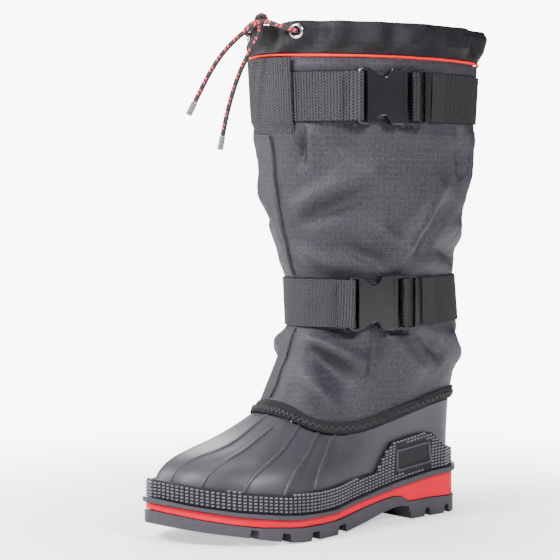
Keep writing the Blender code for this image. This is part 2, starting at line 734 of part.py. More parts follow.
def make_cuff():
    outer, inner = [], []
    for turn in shaft_turns():
        foot = piping_level(turn) + PIPING_RADIUS + GAP
        top = cuff_top(turn)
        levels = [foot, foot + (top - foot) * 0.35, foot + (top - foot) * 0.80, top]
        bulge = (0.0, CUFF_BULGE, CUFF_BULGE, -CUFF_BULGE / 2)
        outer.append([shaft_point(turn, z, out) for z, out in zip(levels, bulge)])
        inner.append([shaft_point(turn, z, out - CUFF_WALL) for z, out in zip(levels, bulge)])
    return add_object("cuff", closed_band(np.array(outer), np.array(inner)), "grey_nylon", 50.0)


def make_piping():
    sides = 6
    rings = []
    for turn in shaft_turns():
        level = piping_level(turn)
        ring = []
        for k in range(sides):
            angle = 2 * math.pi * k / sides
            out = 0.0004 + PIPING_RADIUS * math.cos(angle)
            point = shaft_point(turn, level, out)
            point[2] = level + PIPING_RADIUS * math.sin(angle)
            ring.append(point)
        rings.append(ring)
    count = len(rings)
    faces = []
    for i in range(count):
        j = (i + 1) % count
        for k in range(sides):
            m = (k + 1) % sides
            faces.append((i * sides + k, j * sides + k, j * sides + m, i * sides + m))
    points = [point for ring in rings for point in ring]
    return add_object("piping", mesh_of(points, faces), "red_piping", 80.0)


def make_seam(name, turn, spans):
    """A raised seam up the shaft between two heights, narrow and rounded."""
    half = SEAM_WIDTH / 2 / (math.pi * (SHAFT_LENGTH + SHAFT_WIDTH) / 2)
    for number, (low, high) in enumerate(spans, 1):
        levels = [low] + [z for z in shaft_levels(turn) if low + 0.001 < z < high - 0.001] + [high]
        outer, inner = [], []
        for side in (-1, 0, 1):
            lift = SEAM_HEIGHT if side == 0 else SEAM_HEIGHT * 0.45
            outer.append([shaft_face(turn + side * half, z, 2 * GAP + lift) for z in levels])
            inner.append([shaft_face(turn + side * half, z, 2 * GAP) for z in levels])
        label = name if len(spans) == 1 else f"{name}_{number}"
        add_object(label, open_band(np.array(outer), np.array(inner)), "grey_nylon", 60.0)


def buckle_frame(turn, level):
    """Frame of a buckle: X along the strap to the heel, Y up, Z away from the shaft."""
    ahead, behind = shaft_point(turn - 0.01, level), shaft_point(turn + 0.01, level)
    along = Vector(ahead - behind).normalized()
    up = Vector((0.0, 0.0, 1.0))
    out = along.cross(up).normalized()
    place = Vector(shaft_point(turn, level))
    reach = SOCKET_WIDTH / 2
    stands = max((Vector(shaft_face(turn + 0.01 * step, level + reach * side / 4)) - place).dot(out)
                 for step in range(-8, 9) for side in range(-4, 5))
    place += out * (stands + 2 * GAP)
    matrix = Matrix((along, up, out)).transposed().to_4x4()
    matrix.translation = place
    return matrix


def rounded(corners, steps=3):
    """Outline of a polygon with an arc at each corner. Columns: along, across, radius of the arc."""
    outline = []
    count = len(corners)
    for i in range(count):
        here = np.array(corners[i][:2])
        before = np.array(corners[i - 1][:2]) - here
        after = np.array(corners[(i + 1) % count][:2]) - here
        before, after = before / np.linalg.norm(before), after / np.linalg.norm(after)
        radius = corners[i][2]
        if radius <= 0:
            outline.append(tuple(here))
            continue
        half = math.acos(float(np.clip(np.dot(before, after), -1, 1))) / 2
        reach = radius / math.tan(half)
        start, end = here + before * reach, here + after * reach
        middle = here + (before + after) / np.linalg.norm(before + after) * radius / math.sin(half)
        for step in range(steps + 1):
            blend = start + (end - start) * step / steps - middle
            outline.append(tuple(middle + blend / np.linalg.norm(blend) * radius))
    return outline


def plate(name, outline, low, high, material, matrix, chamfer=0.0):
    """A flat piece with the given outline between two heights, its outer edge chamfered."""
    count = len(outline)
    middle = np.mean(np.array(outline), axis=0)
    levels = [(low, 0.0), (high, 0.0)]
    if chamfer:
        levels = [(low, 0.0), (high - chamfer, 0.0), (high, chamfer)]
    points, faces = [], []
    for level, inset in levels:
        for place in outline:
            away = np.array(place) - middle
            shrunk = middle + away * (1 - inset / np.linalg.norm(away))
            points.append(matrix @ Vector((shrunk[0], shrunk[1], level)))
    for step in range(len(levels) - 1):
        for i in range(count):
            j = (i + 1) % count
            faces.append((step * count + i, step * count + j, (step + 1) * count + j, (step + 1) * count + i))
    faces.append(tuple(reversed(range(count))))
    faces.append(tuple(range((len(levels) - 1) * count, len(levels) * count)))
    return add_object(name, mesh_of(points, faces), material)


def box_cutter(name, matrix, low, high):
    """A hidden block that cuts a window or a slot."""
    outline = ((low[0], low[1]), (high[0], low[1]), (high[0], high[1]), (low[0], high[1]))
    cutter = plate(name, outline, low[2], high[2], "buckle_plastic", matrix)
    cutter.hide_render = True
    cutter.display_type = "WIRE"
    return cutter


def cut(thing, cutter):
    modifier = thing.modifiers.new(cutter.name, "BOOLEAN")
    modifier.operation = "DIFFERENCE"
    modifier.solver = "EXACT"
    modifier.object = cutter


def make_buckle(strap, turn, level):
    """A side release buckle, fastened: a socket with open flanks and a frame with two prongs."""
    matrix = buckle_frame(turn, level)
    half = SOCKET_WIDTH / 2
    mouth = SOCKET_LENGTH * SOCKET_MOUTH
    back = mouth - SOCKET_LENGTH
    side = [(back + along * SOCKET_LENGTH, across * half, corner * SOCKET_WIDTH)
            for along, across, corner in SOCKET_SIDE]
    outline = [(x, -y, corner) for x, y, corner in side] + side[::-1]
    socket = plate(f"{strap}_buckle_socket", rounded(tuple(outline), 2), 0.0, SOCKET_THICK,
                   "buckle_plastic", matrix, BUCKLE_EDGE)
    slot_half = WEBBING_WIDTH / 2 + SLOT_EASE
    slot = back + SOCKET_BAR
    cut(socket, box_cutter(f"{strap}_socket_slot", matrix,
                           (slot, -slot_half, -CUTTER_ROOM),
                           (slot + SOCKET_SLOT, slot_half, SOCKET_THICK + CUTTER_ROOM)))
    hollow = slot + SOCKET_SLOT + SOCKET_WEB
    cut(socket, box_cutter(f"{strap}_socket_hollow", matrix,
                           (hollow, -half - CUTTER_ROOM, PLASTIC_WALL),
                           (mouth + CUTTER_ROOM, half + CUTTER_ROOM, SOCKET_THICK - PLASTIC_WALL)))
    rib_half = SOCKET_RIB / 2
    rib_back, rib_front = hollow - RIB_BITE, mouth - rib_half
    rib = plate(f"{strap}_socket_rib", ((rib_back, -rib_half), (rib_front, -rib_half),
                                        (rib_front, rib_half), (rib_back, rib_half)),
                RIB_FLOOR, SOCKET_THICK - BUCKLE_EDGE, "buckle_plastic", matrix)
    rib.hide_render = True
    rib.display_type = "WIRE"
    join = socket.modifiers.new("rib", "BOOLEAN")
    join.operation = "UNION"
    join.solver = "EXACT"
    join.object = rib
    start = mouth + GAP
    end = start + FRAME_LENGTH
    reach = start - back - PRONG_SHORT
    prong = [(start - along * reach, across * half, corner * SOCKET_WIDTH)
             for along, across, corner in PRONG_SIDE]
    low = PLASTIC_WALL + GAP
    corners = [(start, -half, FRAME_FRONT_CORNER), (end, -half, FRAME_END_CORNER),
               (end, half, FRAME_END_CORNER), (start, half, FRAME_FRONT_CORNER)]
    corners += prong + [(x, -y, corner) for x, y, corner in reversed(prong)]
    frame = plate(f"{strap}_buckle_frame", rounded(tuple(corners), 2), low, low + FRAME_THICK - BUCKLE_EDGE,
                  "buckle_plastic", matrix)
    bar_middle = start + FRAME_LENGTH * FRAME_BAR_PLACE
    for number, (near, far) in enumerate(((start + FRAME_FRONT_BAR, bar_middle - BAR_HALF),
                                          (bar_middle + BAR_HALF, end - FRAME_END_BAR)), 1):
        cut(frame, box_cutter(f"{strap}_frame_slot_{number}", matrix,
                              (near, -slot_half, -CUTTER_ROOM), (far, slot_half, SOCKET_THICK)))
    return matrix, back, bar_middle, end, low


def strap_band(name, columns, level, material):
    """A strap standing on edge. Each column gives the plan places of its inner and outer faces at a height."""
    levels = (level - WEBBING_WIDTH / 2, level + WEBBING_WIDTH / 2)
    inner = np.array([[column(z)[0] for z in levels] for column in columns])
    outer = np.array([[column(z)[1] for z in levels] for column in columns])
    return add_object(name, open_band(outer, inner), material, 50.0)


def on_shaft(turn, out, thick=WEBBING_THICK):
    return lambda z: (shaft_face(turn, z, out), shaft_face(turn, z, out + thick))


def on_buckle(matrix, along, inner_out, along_outer, outer_out):
    """A column of webbing placed from the buckle's own frame."""
    def column(z):
        inside = matrix @ Vector((along, 0.0, inner_out))
        outside = matrix @ Vector((along_outer, 0.0, outer_out))
        return np.array([inside.x, inside.y, z]), np.array([outside.x, outside.y, z])
    return column


def make_strap(strap, turn, level):
    matrix, back, bar, end, low = make_buckle(strap, turn, level)
    half_length, half_width = shaft_section(level)[1:]
    round_about = math.pi * (3 * (half_length + half_width)
                             - math.sqrt((3 * half_length + half_width) * (half_length + 3 * half_width)))
    first = turn + (STRAP_LEAVES - back) / round_about
    mid_out = SOCKET_THICK / 2 - WEBBING_THICK / 2
    front = [on_buckle(matrix, back - GAP, mid_out, back - GAP, mid_out + WEBBING_THICK)]
    for column_turn in shaft_turns():
        if first + COLUMN_ROOM < column_turn < STRAP_JOIN - JOIN_ROOM:
            away = min(1.0, (column_turn - first) * round_about / STRAP_SETTLES)
            front.append(on_shaft(column_turn, GAP * 1.5 + STRAP_LIFT * (1 - away)**2))
    front.append(on_shaft(STRAP_JOIN - 0.001, GAP * 1.5))
    strap_band(f"{strap}_strap_front", front, level, "webbing")
    top = low + FRAME_THICK - BUCKLE_EDGE + GAP
    reach = BAR_HALF + GAP
    rear = [
        on_buckle(matrix, bar - reach, low - SLACK_GAP, bar - reach - WEBBING_THICK, low - SLACK_GAP),
        on_buckle(matrix, bar - reach, top - FOLD_EASE, bar - reach - WEBBING_THICK, top),
        on_buckle(matrix, bar - reach + 2 * FOLD_EASE, top + FOLD_EASE / 2,
                  bar - reach - FOLD_EASE, top + WEBBING_THICK),
        on_buckle(matrix, bar + reach - 2 * FOLD_EASE, top + FOLD_EASE / 2,
                  bar + reach + FOLD_EASE, top + WEBBING_THICK),
        on_buckle(matrix, bar + reach, top - FOLD_EASE, bar + reach + WEBBING_THICK, top),
        on_buckle(matrix, bar + reach, low - WEBBING_THICK - GAP, bar + reach + WEBBING_THICK, low - GAP),
    ]
    last = turn - (end + REAR_CLEAR) / round_about
    behind = [t for t in reversed(shaft_turns()) if t < last] + [t - 1 for t in reversed(shaft_turns())]
    start_turn = turn - (end - REAR_TUCK) / round_about
    rear.append(on_shaft(start_turn, GAP * 2.2))
    for column_turn in behind:
        if column_turn > STRAP_JOIN - 1 + JOIN_ROOM:
            rear.append(on_shaft(column_turn, GAP * 1.5))
    rear.append(on_shaft(STRAP_JOIN - 1 + 0.001, GAP * 1.5))
    strap_band(f"{strap}_strap_rear", rear, level, "dark_webbing")
    tag_turns = [start_turn - (TAG_OFFSET + step * TAG_WIDTH / 2) / round_about for step in range(3)]
    tag_out = GAP * 3.5 + WEBBING_THICK
    tag = [on_shaft(t, tag_out, TAG_THICK) for t in tag_turns]
    strap_band(f"{strap}_strap_tag", tag, level, "tag_leather")


def make_keeper():
    """The upright webbing that holds the upper strap at the front of the shaft."""
    low, high = strap_edges()[2:]
    top = piping_level(0.5) - PIPING_RADIUS - 2 * GAP
    over = GAP * 3 + WEBBING_THICK
    rows = ((KEEPER_BOTTOM, GAP * 1.5), (low - KEEPER_STEP, GAP * 1.5), (low - KEEPER_EASE, over),
            (high + KEEPER_EASE, over), (high + KEEPER_STEP, over), (top, over))
    half = KEEPER_WIDTH / 2 / (SHAFT_WIDTH * 1.12 * math.pi / 2 + SHAFT_LENGTH * 0.4)
    turns = [0.5 - half, 0.475, 0.5, 0.525, 0.5 + half]
    outer = [[shaft_face(turn, z, out + WEBBING_THICK) for z, out in rows] for turn in turns]
    inner = [[shaft_face(turn, z, out) for z, out in rows] for turn in turns]
    return add_object("keeper_loop", open_band(np.array(outer), np.array(inner)), "webbing", 50.0)


def make_eyelet(name, turn):
    """A pressed ring on the cuff, lying on its outer face."""
    ahead, behind = shaft_point(turn - 0.01, EYELET_HEIGHT), shaft_point(turn + 0.01, EYELET_HEIGHT)
    along = Vector(ahead - behind).normalized()
    out = along.cross(Vector((0.0, 0.0, 1.0))).normalized()
    place = Vector(shaft_point(turn, EYELET_HEIGHT, CUFF_BULGE)) + out * (2 * GAP)
    sides = 20
    profile = ((EYELET_HOLE, 0.0), (EYELET_RADIUS, 0.0), (EYELET_RADIUS, EYELET_THICK * 0.4),
               (EYELET_RADIUS - 0.0009, EYELET_THICK), (EYELET_HOLE + 0.0007, EYELET_THICK))
    points, faces = [], []
    for i in range(sides):
        angle = 2 * math.pi * i / sides
        for radius, lift in profile:
            points.append(place + along * radius * math.cos(angle)
                          + Vector((0, 0, 1)) * radius * math.sin(angle) + out * lift)
    per = len(profile)
    for i in range(sides):
        j = (i + 1) % sides
        for k in range(per):
            m = (k + 1) % per
            faces.append((i * per + k, j * per + k, j * per + m, i * per + m))
    add_object(name, mesh_of(points, faces), "eyelet_metal")
    return place, out


def tube(name, points, diameter, material):
    """A cord along a smooth run of points."""
    curve = bpy.data.curves.new(name, "CURVE")
    curve.dimensions = "3D"
    curve.bevel_depth = diameter / 2
    curve.bevel_resolution = 2
    curve.use_fill_caps = True
    spline = curve.splines.new("POLY")
    spline.points.add(len(points) - 1)
    for target, point in zip(spline.points, points):
        target.co = (*point, 1.0)
    curve.materials.append(make_material(material))
    thing = bpy.data.objects.new(name, curve)
    bpy.context.scene.collection.objects.link(thing)
    return thing


def make_drawcord():
    """The knot in front of the cuff, the runs to the two eyelets and the two hanging ends."""
    knot = Vector(shaft_point(0.5, KNOT_HEIGHT, CUFF_BULGE))
    knot += Vector((-KNOT_SIZE[0] / 2 - 2 * GAP, -KNOT_LEAN, 0.0))
    for number, side in ((1, 1), (2, -1)):
        turn = 0.5 - side * (0.5 - EYELET_SHARE)
        seat, out = make_eyelet(f"eyelet_{number}", turn)
        edge = knot + Vector((-0.0005, -side * (KNOT_SIZE[1] / 2 + 2 * GAP), -0.001))
        lift = EYELET_THICK + CORD_DIAMETER / 2
        route = [seat, seat + out * lift + (edge - seat) * 0.04,
                 seat + (edge - seat) * 0.22 + out * (lift + 0.003),
                 seat + (edge - seat) * 0.62 + out * (lift + 0.001), edge]
        tube(f"drawcord_run_{number}", spline_through([tuple(p) for p in route], 3), CORD_DIAMETER,
             "cord_braid")
    knot_mesh = bmesh.new()
    bmesh.ops.create_uvsphere(knot_mesh, u_segments=12, v_segments=8, radius=0.5)
    for vertex in knot_mesh.verts:
        pinch = 1.0 - 0.16 * math.exp(-(vertex.co.z / 0.10)**2)
        vertex.co = Vector((vertex.co.x * KNOT_SIZE[0] * pinch, vertex.co.y * KNOT_SIZE[1] * pinch,
                            vertex.co.z * KNOT_SIZE[2])) + knot
    mesh = bpy.data.meshes.new("knot")
    knot_mesh.to_mesh(mesh)
    knot_mesh.free()
    add_object("drawcord_knot", mesh, "cord_braid", 80.0)
    for number, route in ((1, FIRST_END_ROUTE), (2, SECOND_END_ROUTE)):
        points = spline_through([tuple(knot + Vector(point)) for point in route], 2)
        tube(f"drawcord_end_{number}", points, CORD_DIAMETER, "cord_braid")
        heading = Vector(points[-1] - points[-2]).normalized()
        tip = Vector(points[-1]) + heading * GAP
        tube(f"aglet_{number}", [tip, tip + heading * AGLET_LENGTH], AGLET_DIAMETER, "clear_aglet")


def main():
    start_clean()
    make_outsole()
    make_sole_layers()
    make_galosh()
    make_foxing()
    make_shaft()
    make_binding()
    make_piping()
    make_cuff()
    lower_bottom, lower_top, upper_bottom, upper_top = strap_edges()
    clear = SEAM_CLEAR
    back_foot = galosh_edge(0.0) + SLACK_GAP + BINDING_WIDTH + clear
    back_top = piping_level(0.0) - PIPING_RADIUS - clear
    make_seam("back_seam", 0.0, ((back_foot, lower_bottom - clear), (lower_top + clear, upper_bottom - clear),
                                 (upper_top + clear, back_top)))
    front_foot = galosh_edge(0.5) + SLACK_GAP + BINDING_WIDTH + clear
    make_seam("front_seam", 0.5, ((front_foot, lower_bottom - clear),
                                  (lower_top + clear, KEEPER_BOTTOM - clear)))
    for strap, turn, level in zip(STRAP_NAMES, BUCKLE_SHARES, STRAP_LEVELS):
        make_strap(strap, turn, level)
    make_keeper()
    make_drawcord()


main()
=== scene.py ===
import math
from contextlib import contextmanager

import bmesh
import bpy
import numpy as np
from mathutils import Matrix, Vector, noise
from mathutils.bvhtree import BVHTree


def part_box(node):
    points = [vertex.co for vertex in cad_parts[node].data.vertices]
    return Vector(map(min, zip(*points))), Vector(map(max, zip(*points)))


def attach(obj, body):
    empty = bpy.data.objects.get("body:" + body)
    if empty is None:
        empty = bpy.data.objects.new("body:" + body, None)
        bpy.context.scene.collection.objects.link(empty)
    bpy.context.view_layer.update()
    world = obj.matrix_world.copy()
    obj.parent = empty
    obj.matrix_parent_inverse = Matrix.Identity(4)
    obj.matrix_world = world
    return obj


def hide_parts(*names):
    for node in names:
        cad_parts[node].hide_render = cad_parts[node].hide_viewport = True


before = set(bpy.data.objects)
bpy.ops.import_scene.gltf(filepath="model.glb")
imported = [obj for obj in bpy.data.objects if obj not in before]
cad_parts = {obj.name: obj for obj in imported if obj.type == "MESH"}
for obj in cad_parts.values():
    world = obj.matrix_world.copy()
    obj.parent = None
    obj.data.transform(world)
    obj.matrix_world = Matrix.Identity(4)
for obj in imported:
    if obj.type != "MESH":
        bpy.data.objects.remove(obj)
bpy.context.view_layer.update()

bl_info = {
    "name": "Winter boot",
    "version": (1, 0, 0),
    "blender": (4, 5, 0),
    "location": "View3D > Sidebar > Boot",
    "description": "Dresses the boot's solids with fabric, webbing, rubber and trim",
    "category": "Object",
}

# Photograph
CAMERA_PLACE = (-1.1643, -1.2191, 0.286)
CAMERA_TURN = (87.008, 0.0, -40.0)
CAMERA_LENS = 125.55

# Brightness of the pale ground behind the boot
BACKDROP = 9.0

# Shaft: height, middle, half length, half width
SHAFT_SHAPE = (
    (0.09, -0.06, 0.104, 0.0455), (0.1, -0.0557, 0.1021, 0.0462), (0.125, -0.0454, 0.0956, 0.0481),
    (0.15, -0.0375, 0.0886, 0.0497), (0.175, -0.0368, 0.0854, 0.0503), (0.2, -0.0393, 0.0838, 0.052),
    (0.225, -0.0437, 0.0874, 0.0574), (0.25, -0.0447, 0.0954, 0.0657), (0.275, -0.0464, 0.0989, 0.0704),
    (0.3, -0.0466, 0.1014, 0.0734), (0.325, -0.046, 0.1042, 0.0761), (0.35, -0.0459, 0.1059, 0.0774),
    (0.375, -0.0459, 0.1074, 0.0784), (0.4, -0.0429, 0.1107, 0.0799), (0.412, -0.0451, 0.1094, 0.0784),
)
CENTRE_LINE_Y = 0.002
SHAFT_GIRTH = 0.56

# Levels at which the shaft, its seams and the cuff are sliced: first, last, step
SHAFT_SLICES = (0.112, 0.38, 0.0095)
SEAM_SLICES = (0.108, 0.38, 0.004)
CUFF_SLICES = (0.386, 0.411, 0.004)

# Lowest and highest level of each strap
STRAP_BANDS = ((0.1645, 0.2035), (0.3315, 0.3705))

# Height of the binding's foot at twenty even turns from the heel round, and the binding's width
BINDING_EDGE = (0.0948, 0.0956, 0.0961, 0.0962, 0.0917, 0.0847, 0.0777, 0.0782, 0.0875, 0.0942, 0.096,
                0.0942, 0.0875, 0.0782, 0.0777, 0.0847, 0.0917, 0.0962, 0.0961, 0.0956)
BINDING_WIDTH = 0.0095

# Webbing and buckles. The fold is a side view: along the strap from the socket's end, and out from its face
WEBBING_WIDTH = 0.039
WEBBING_THICK = 0.0015
SOCKET_THICK = 0.0095
STRAP_CUTS = (0.0012, 0.003)
BUCKLE_BEVEL = 0.0008
FOLD_START = ((-0.0085, 0.0012), (-0.0055, 0.0016), (-0.003, 0.003))
FOLD_OVER = ((-0.0016, -0.001), (0.0002, 0.0008), (0.002, 0.0011), (0.0036, 0.0008), (0.0048, -0.0008),
             (0.0052, -0.004))
# The rear straps take the front straps' webbing darkened to under half, as painted shade on the straps at the
# back.
STRAPS = (
    ("lower_strap_front", "webbing", "webbing"), ("upper_strap_front", "webbing", "webbing"),
    ("lower_strap_rear", "dark_webbing", "dark_webbing"),
    ("upper_strap_rear", "dark_webbing", "dark_webbing"),
    ("keeper_loop", "webbing", "webbing"), ("lower_strap_tag", "tag", "tag_leather"),
    ("upper_strap_tag", "tag", "tag_leather"),
)

# Creases of the fabric: from turn and height, to turn and height, half width, how far out
CREASES = (
    ((0.45, 0.262), (0.334, 0.29), 0.009, 0.003), ((0.452, 0.25), (0.34, 0.272), 0.008, -0.0026),
    ((0.29, 0.212), (0.213, 0.276), 0.0085, 0.0028), ((0.262, 0.212), (0.19, 0.262), 0.0075, -0.0026),
    ((0.434, 0.326), (0.437, 0.3), 0.0045, -0.003), ((0.424, 0.326), (0.42, 0.296), 0.005, 0.0018),
    ((0.4, 0.326), (0.36, 0.3), 0.007, -0.002), ((0.18, 0.326), (0.16, 0.29), 0.006, -0.0024),
    ((0.13, 0.322), (0.128, 0.27), 0.007, 0.0022), ((0.33, 0.245), (0.25, 0.222), 0.008, 0.0024),
    ((0.38, 0.232), (0.3, 0.214), 0.007, -0.0024), ((0.47, 0.228), (0.4, 0.214), 0.007, 0.0024),
    ((0.2, 0.232), (0.11, 0.214), 0.007, -0.0012), ((0.15, 0.244), (0.06, 0.226), 0.008, 0.0012),
    ((0.44, 0.156), (0.33, 0.134), 0.0075, 0.0034), ((0.43, 0.145), (0.34, 0.12), 0.0065, -0.003),
    ((0.43, 0.128), (0.35, 0.1), 0.007, 0.0032), ((0.32, 0.154), (0.306, 0.128), 0.0055, -0.0026),
    ((0.29, 0.152), (0.22, 0.124), 0.008, 0.0028), ((0.23, 0.154), (0.17, 0.136), 0.006, -0.0024),
    ((0.15, 0.15), (0.06, 0.128), 0.008, 0.0024), ((0.1, 0.15), (0.03, 0.14), 0.006, -0.0022),
    ((0.55, 0.262), (0.66, 0.29), 0.009, 0.0014), ((0.56, 0.248), (0.65, 0.272), 0.008, -0.0014),
    ((0.72, 0.212), (0.8, 0.27), 0.0085, 0.0026), ((0.6, 0.326), (0.62, 0.3), 0.007, -0.0022),
    ((0.83, 0.326), (0.85, 0.286), 0.007, -0.0022), ((0.66, 0.24), (0.76, 0.222), 0.008, 0.0024),
    ((0.62, 0.23), (0.7, 0.214), 0.007, -0.0022), ((0.82, 0.234), (0.9, 0.216), 0.007, -0.0022),
    ((0.56, 0.154), (0.66, 0.132), 0.0075, 0.0032), ((0.58, 0.142), (0.65, 0.118), 0.0065, -0.0028),
    ((0.72, 0.15), (0.79, 0.126), 0.008, 0.0026), ((0.86, 0.15), (0.94, 0.13), 0.008, 0.0024),
)

# Strength of all creases, and how each one fades at its two ends
CREASE_GAIN = 2.6
CREASE_ENDS = (0.12, 0.76, 0.7)

# Crumples of the fabric: how fine round the boot, how fine upwards, how deep
FINE_CRUMPLE = (3.2, 42.0, 0.001)
SLOW_CRUMPLE = (1.5, 17.0, 0.0012)

# Fabric beside the straps: where it reaches full relief, then the height, place and spread of its bulge
STRAP_EASE = 0.01
STRAP_BULGE = (0.0016, 0.011, 0.008)

# Heights between which the folds die out under the piping
FOLD_TOP = 0.381
FOLD_TOP_EASE = 0.008

# Gathers of the cuff, deep at the front and none at the eyelets, and its lumps with their rounded full turn
CUFF_FOOT = 0.3835
CUFF_RISE = 0.01
CUFF_FRONT = (0.5, 0.16)
EYELET_TURNS = (0.441, 0.559)
EYELET_FLAT = (0.016, 0.008)
CUFF_GATHERS = 15
GATHER_DEPTH = (0.001, 0.0022)
LUMP_DEPTH = 0.0044
LUMP_TURN = 6.2832

# Overhang of the cuff: depth, turn, spread, lowest level, rise
OVERHANG = (0.0034, 0.075, 0.06, 0.388, 0.016)

# Ribs of the toe: plan places and heights, top to foot
OUTER_RIBS = (
    ((-0.1625, -0.0063, 0.0935), (-0.1819, -0.0071, 0.083), (-0.2039, -0.011, 0.0723),
     (-0.2242, -0.0065, 0.069), (-0.2373, 0.001, 0.0659), (-0.2498, 0.0027, 0.0577),
     (-0.2554, 0.0026, 0.049)),
    ((-0.144, -0.016, 0.0965), (-0.1552, -0.0171, 0.0905), (-0.1773, -0.0204, 0.08),
     (-0.2003, -0.0255, 0.0704), (-0.2255, -0.0262, 0.0635), (-0.2363, -0.0241, 0.0564),
     (-0.2429, -0.0228, 0.0468)),
    ((-0.144, -0.0265, 0.086), (-0.1577, -0.0332, 0.078), (-0.1733, -0.0417, 0.0695),
     (-0.1972, -0.0469, 0.0602), (-0.2104, -0.0474, 0.0535), (-0.2183, -0.0459, 0.044)),
    ((-0.13, -0.0345, 0.081), (-0.1408, -0.0406, 0.0732), (-0.1523, -0.0485, 0.0662),
     (-0.1662, -0.0541, 0.0586), (-0.1773, -0.0575, 0.0514), (-0.186, -0.0586, 0.041)),
    ((-0.116, -0.0375, 0.0775), (-0.1262, -0.0439, 0.0686), (-0.1379, -0.0507, 0.0603),
     (-0.1476, -0.0558, 0.0524), (-0.155, -0.059, 0.044)),
)
INNER_RIBS = (
    ((-0.157, 0.014, 0.0905), (-0.178, 0.018, 0.08), (-0.201, 0.022, 0.0704),
     (-0.225, 0.0215, 0.063), (-0.242, 0.02, 0.048)),
    ((-0.146, 0.026, 0.086), (-0.16, 0.032, 0.078), (-0.176, 0.037, 0.069),
     (-0.198, 0.039, 0.06), (-0.217, 0.039, 0.045)),
    ((-0.131, 0.033, 0.081), (-0.143, 0.038, 0.073), (-0.156, 0.043, 0.065),
     (-0.17, 0.045, 0.058), (-0.184, 0.046, 0.043)),
    ((-0.116, 0.037, 0.0775), (-0.127, 0.041, 0.068), (-0.139, 0.044, 0.06),
     (-0.15, 0.045, 0.044)),
)

# Rib's section, its reach past the points, and the part of the galosh that is evened out
RIB_HALF = 0.0017
RIB_LIFT = 0.001
RIB_REACH = 0.006
RIB_SKIRT = 0.0004
RIB_STEP = 0.002
RIB_PASSES = 60
TOE_BACK = -0.092
BAND_TOP = 0.036
BINDING_CLEAR = 0.004

# Bare plate on the heel counter: along the boot and height, front foot first
PLATE_CORNERS = ((-0.049, 0.042), (-0.051, 0.059), (-0.011, 0.063), (-0.007, 0.046))

# Section of the plate's rim, and the box round the plate without studs: front, back, low, high
PLATE_RIM = ((-0.0012, -0.0005), (-0.001, 0.0009), (0.001, 0.0009), (0.0012, -0.0005))
PLATE_KEEP = (-0.052, -0.005, 0.0395, 0.0655)

# Studs of the band: rays round the boot, how far out they start and reach, and the stud's own shape
STUD_RAYS = 360
RAY_START = 0.3
STUD_START = 0.02
STUD_REACH = 0.036
STUD_LEVELS = 0.0005
MIDDLE_ENDS = (0.05, 0.042)
RING_PASSES = 8
FOOT_PASSES = 12
UPRIGHT = 0.8
STUD_TOP = 0.28
STUD_FOOT = 0.53
STUD_HEIGHT = 0.0016
STUD_SINK = 0.0003

# Drawcord
CORD_DIAMETER = 0.004
KNOT_MIDDLE = (-0.16193, -0.001, 0.4125)
EYELET_SEATS = ((-0.14738, -0.02757, 0.403), (-0.14738, 0.03157, 0.403))
FIRST_END = ((-0.1673, 0.0008, 0.4085), (-0.173, 0.0065, 0.4032), (-0.1795, 0.0145, 0.3945),
             (-0.1862, 0.0228, 0.3825), (-0.192, 0.03, 0.368), (-0.196, 0.035, 0.356),
             (-0.199, 0.0385, 0.347))
SECOND_END = ((-0.1635, -0.0032, 0.4043), (-0.1665, -0.0024, 0.398), (-0.1718, 0.0015, 0.387),
              (-0.1765, 0.0078, 0.3715), (-0.1795, 0.0135, 0.355), (-0.1815, 0.0185, 0.338),
              (-0.183, 0.0225, 0.32))

# Reach of the knot's loops: out, along the cuff, up
KNOT_LOOP = (0.0018, 0.0016, 0.002)
KNOT_STEPS = 72
KNOT_THICK = 0.9

# Red flecks of the cord: distance between pairs, places in it, half length, and the two colours
FLECK_REPEAT = 0.0105
FLECK_PLACES = (0.3, 0.62)
FLECK_HALF = 0.085
CORD_BLACK = (0.013, 0.012, 0.015)
CORD_RED = (0.85, 0.02, 0.045)

# Way of a cord from its eyelet to the knot: share of the way, and how far out from the cuff
CORD_BOW = ((0.08, 0.0034), (0.35, 0.0058), (0.7, 0.004))
CORD_STEP = 0.0012
CORD_PASSES = 26
EYELET_LIFT = 0.0006
KNOT_MOUTH = (-0.0005, 0.0062, -0.001)
KNOT_THROAT = (-0.003, 0.001, -0.002)

# Stitches: number, rows and lift on the binding, then lift, turns and reach on the straps and seams
BINDING_STITCHES = 190
BINDING_STITCH_ROWS = (0.0028, 0.006)
BINDING_OUT = 0.0026
STRAP_OUT = 0.003
SEAM_OUT = 0.0003
STRAP_STITCH_TURNS = (0.44, 0.443)
STITCH_INSET = 0.002
STRAP_STITCH = 0.7
SEAM_STITCH_TURNS = (0.505, 0.495, 0.006, 0.994)
SEAM_STITCHES = 130
SEAM_START = 0.108
SEAM_END = 0.318
SEAM_STITCH = 0.55
SEAM_STEP = 0.8

# Lights: name, place, aim, size, power
LIGHTS = (
    ("key_light", (-1.9, 0.1, 1.6), (-0.08, 0, 0.2), 0.6, 92.0),
    ("side_light", (-0.4, -2.1, 1.5), (0.0, 0, 0.2), 0.5, 75.0),
    ("top_light", (-0.2, 0.1, 2.4), (0, 0, 0.2), 1.0, 30.0),
    ("back_light", (1.0, 1.4, 1.2), (0, 0, 0.25), 1.0, 45.0),
    ("far_side_light", (-1.0, 1.7, 1.0), (0, 0, 0.2), 1.0, 40.0),
)
ROOM_LIGHT = 0.08

# Floor: middle of the boot, where the glow starts and is full, and its share there
FLOOR_MIDDLE = (-0.11, 0.0, 0.0)
FLOOR_GLOW = {"From Min": 0.12, "From Max": 0.75, "To Min": 0.1, "To Max": 1.0}
WHITE = (1.0, 1.0, 1.0, 1.0)


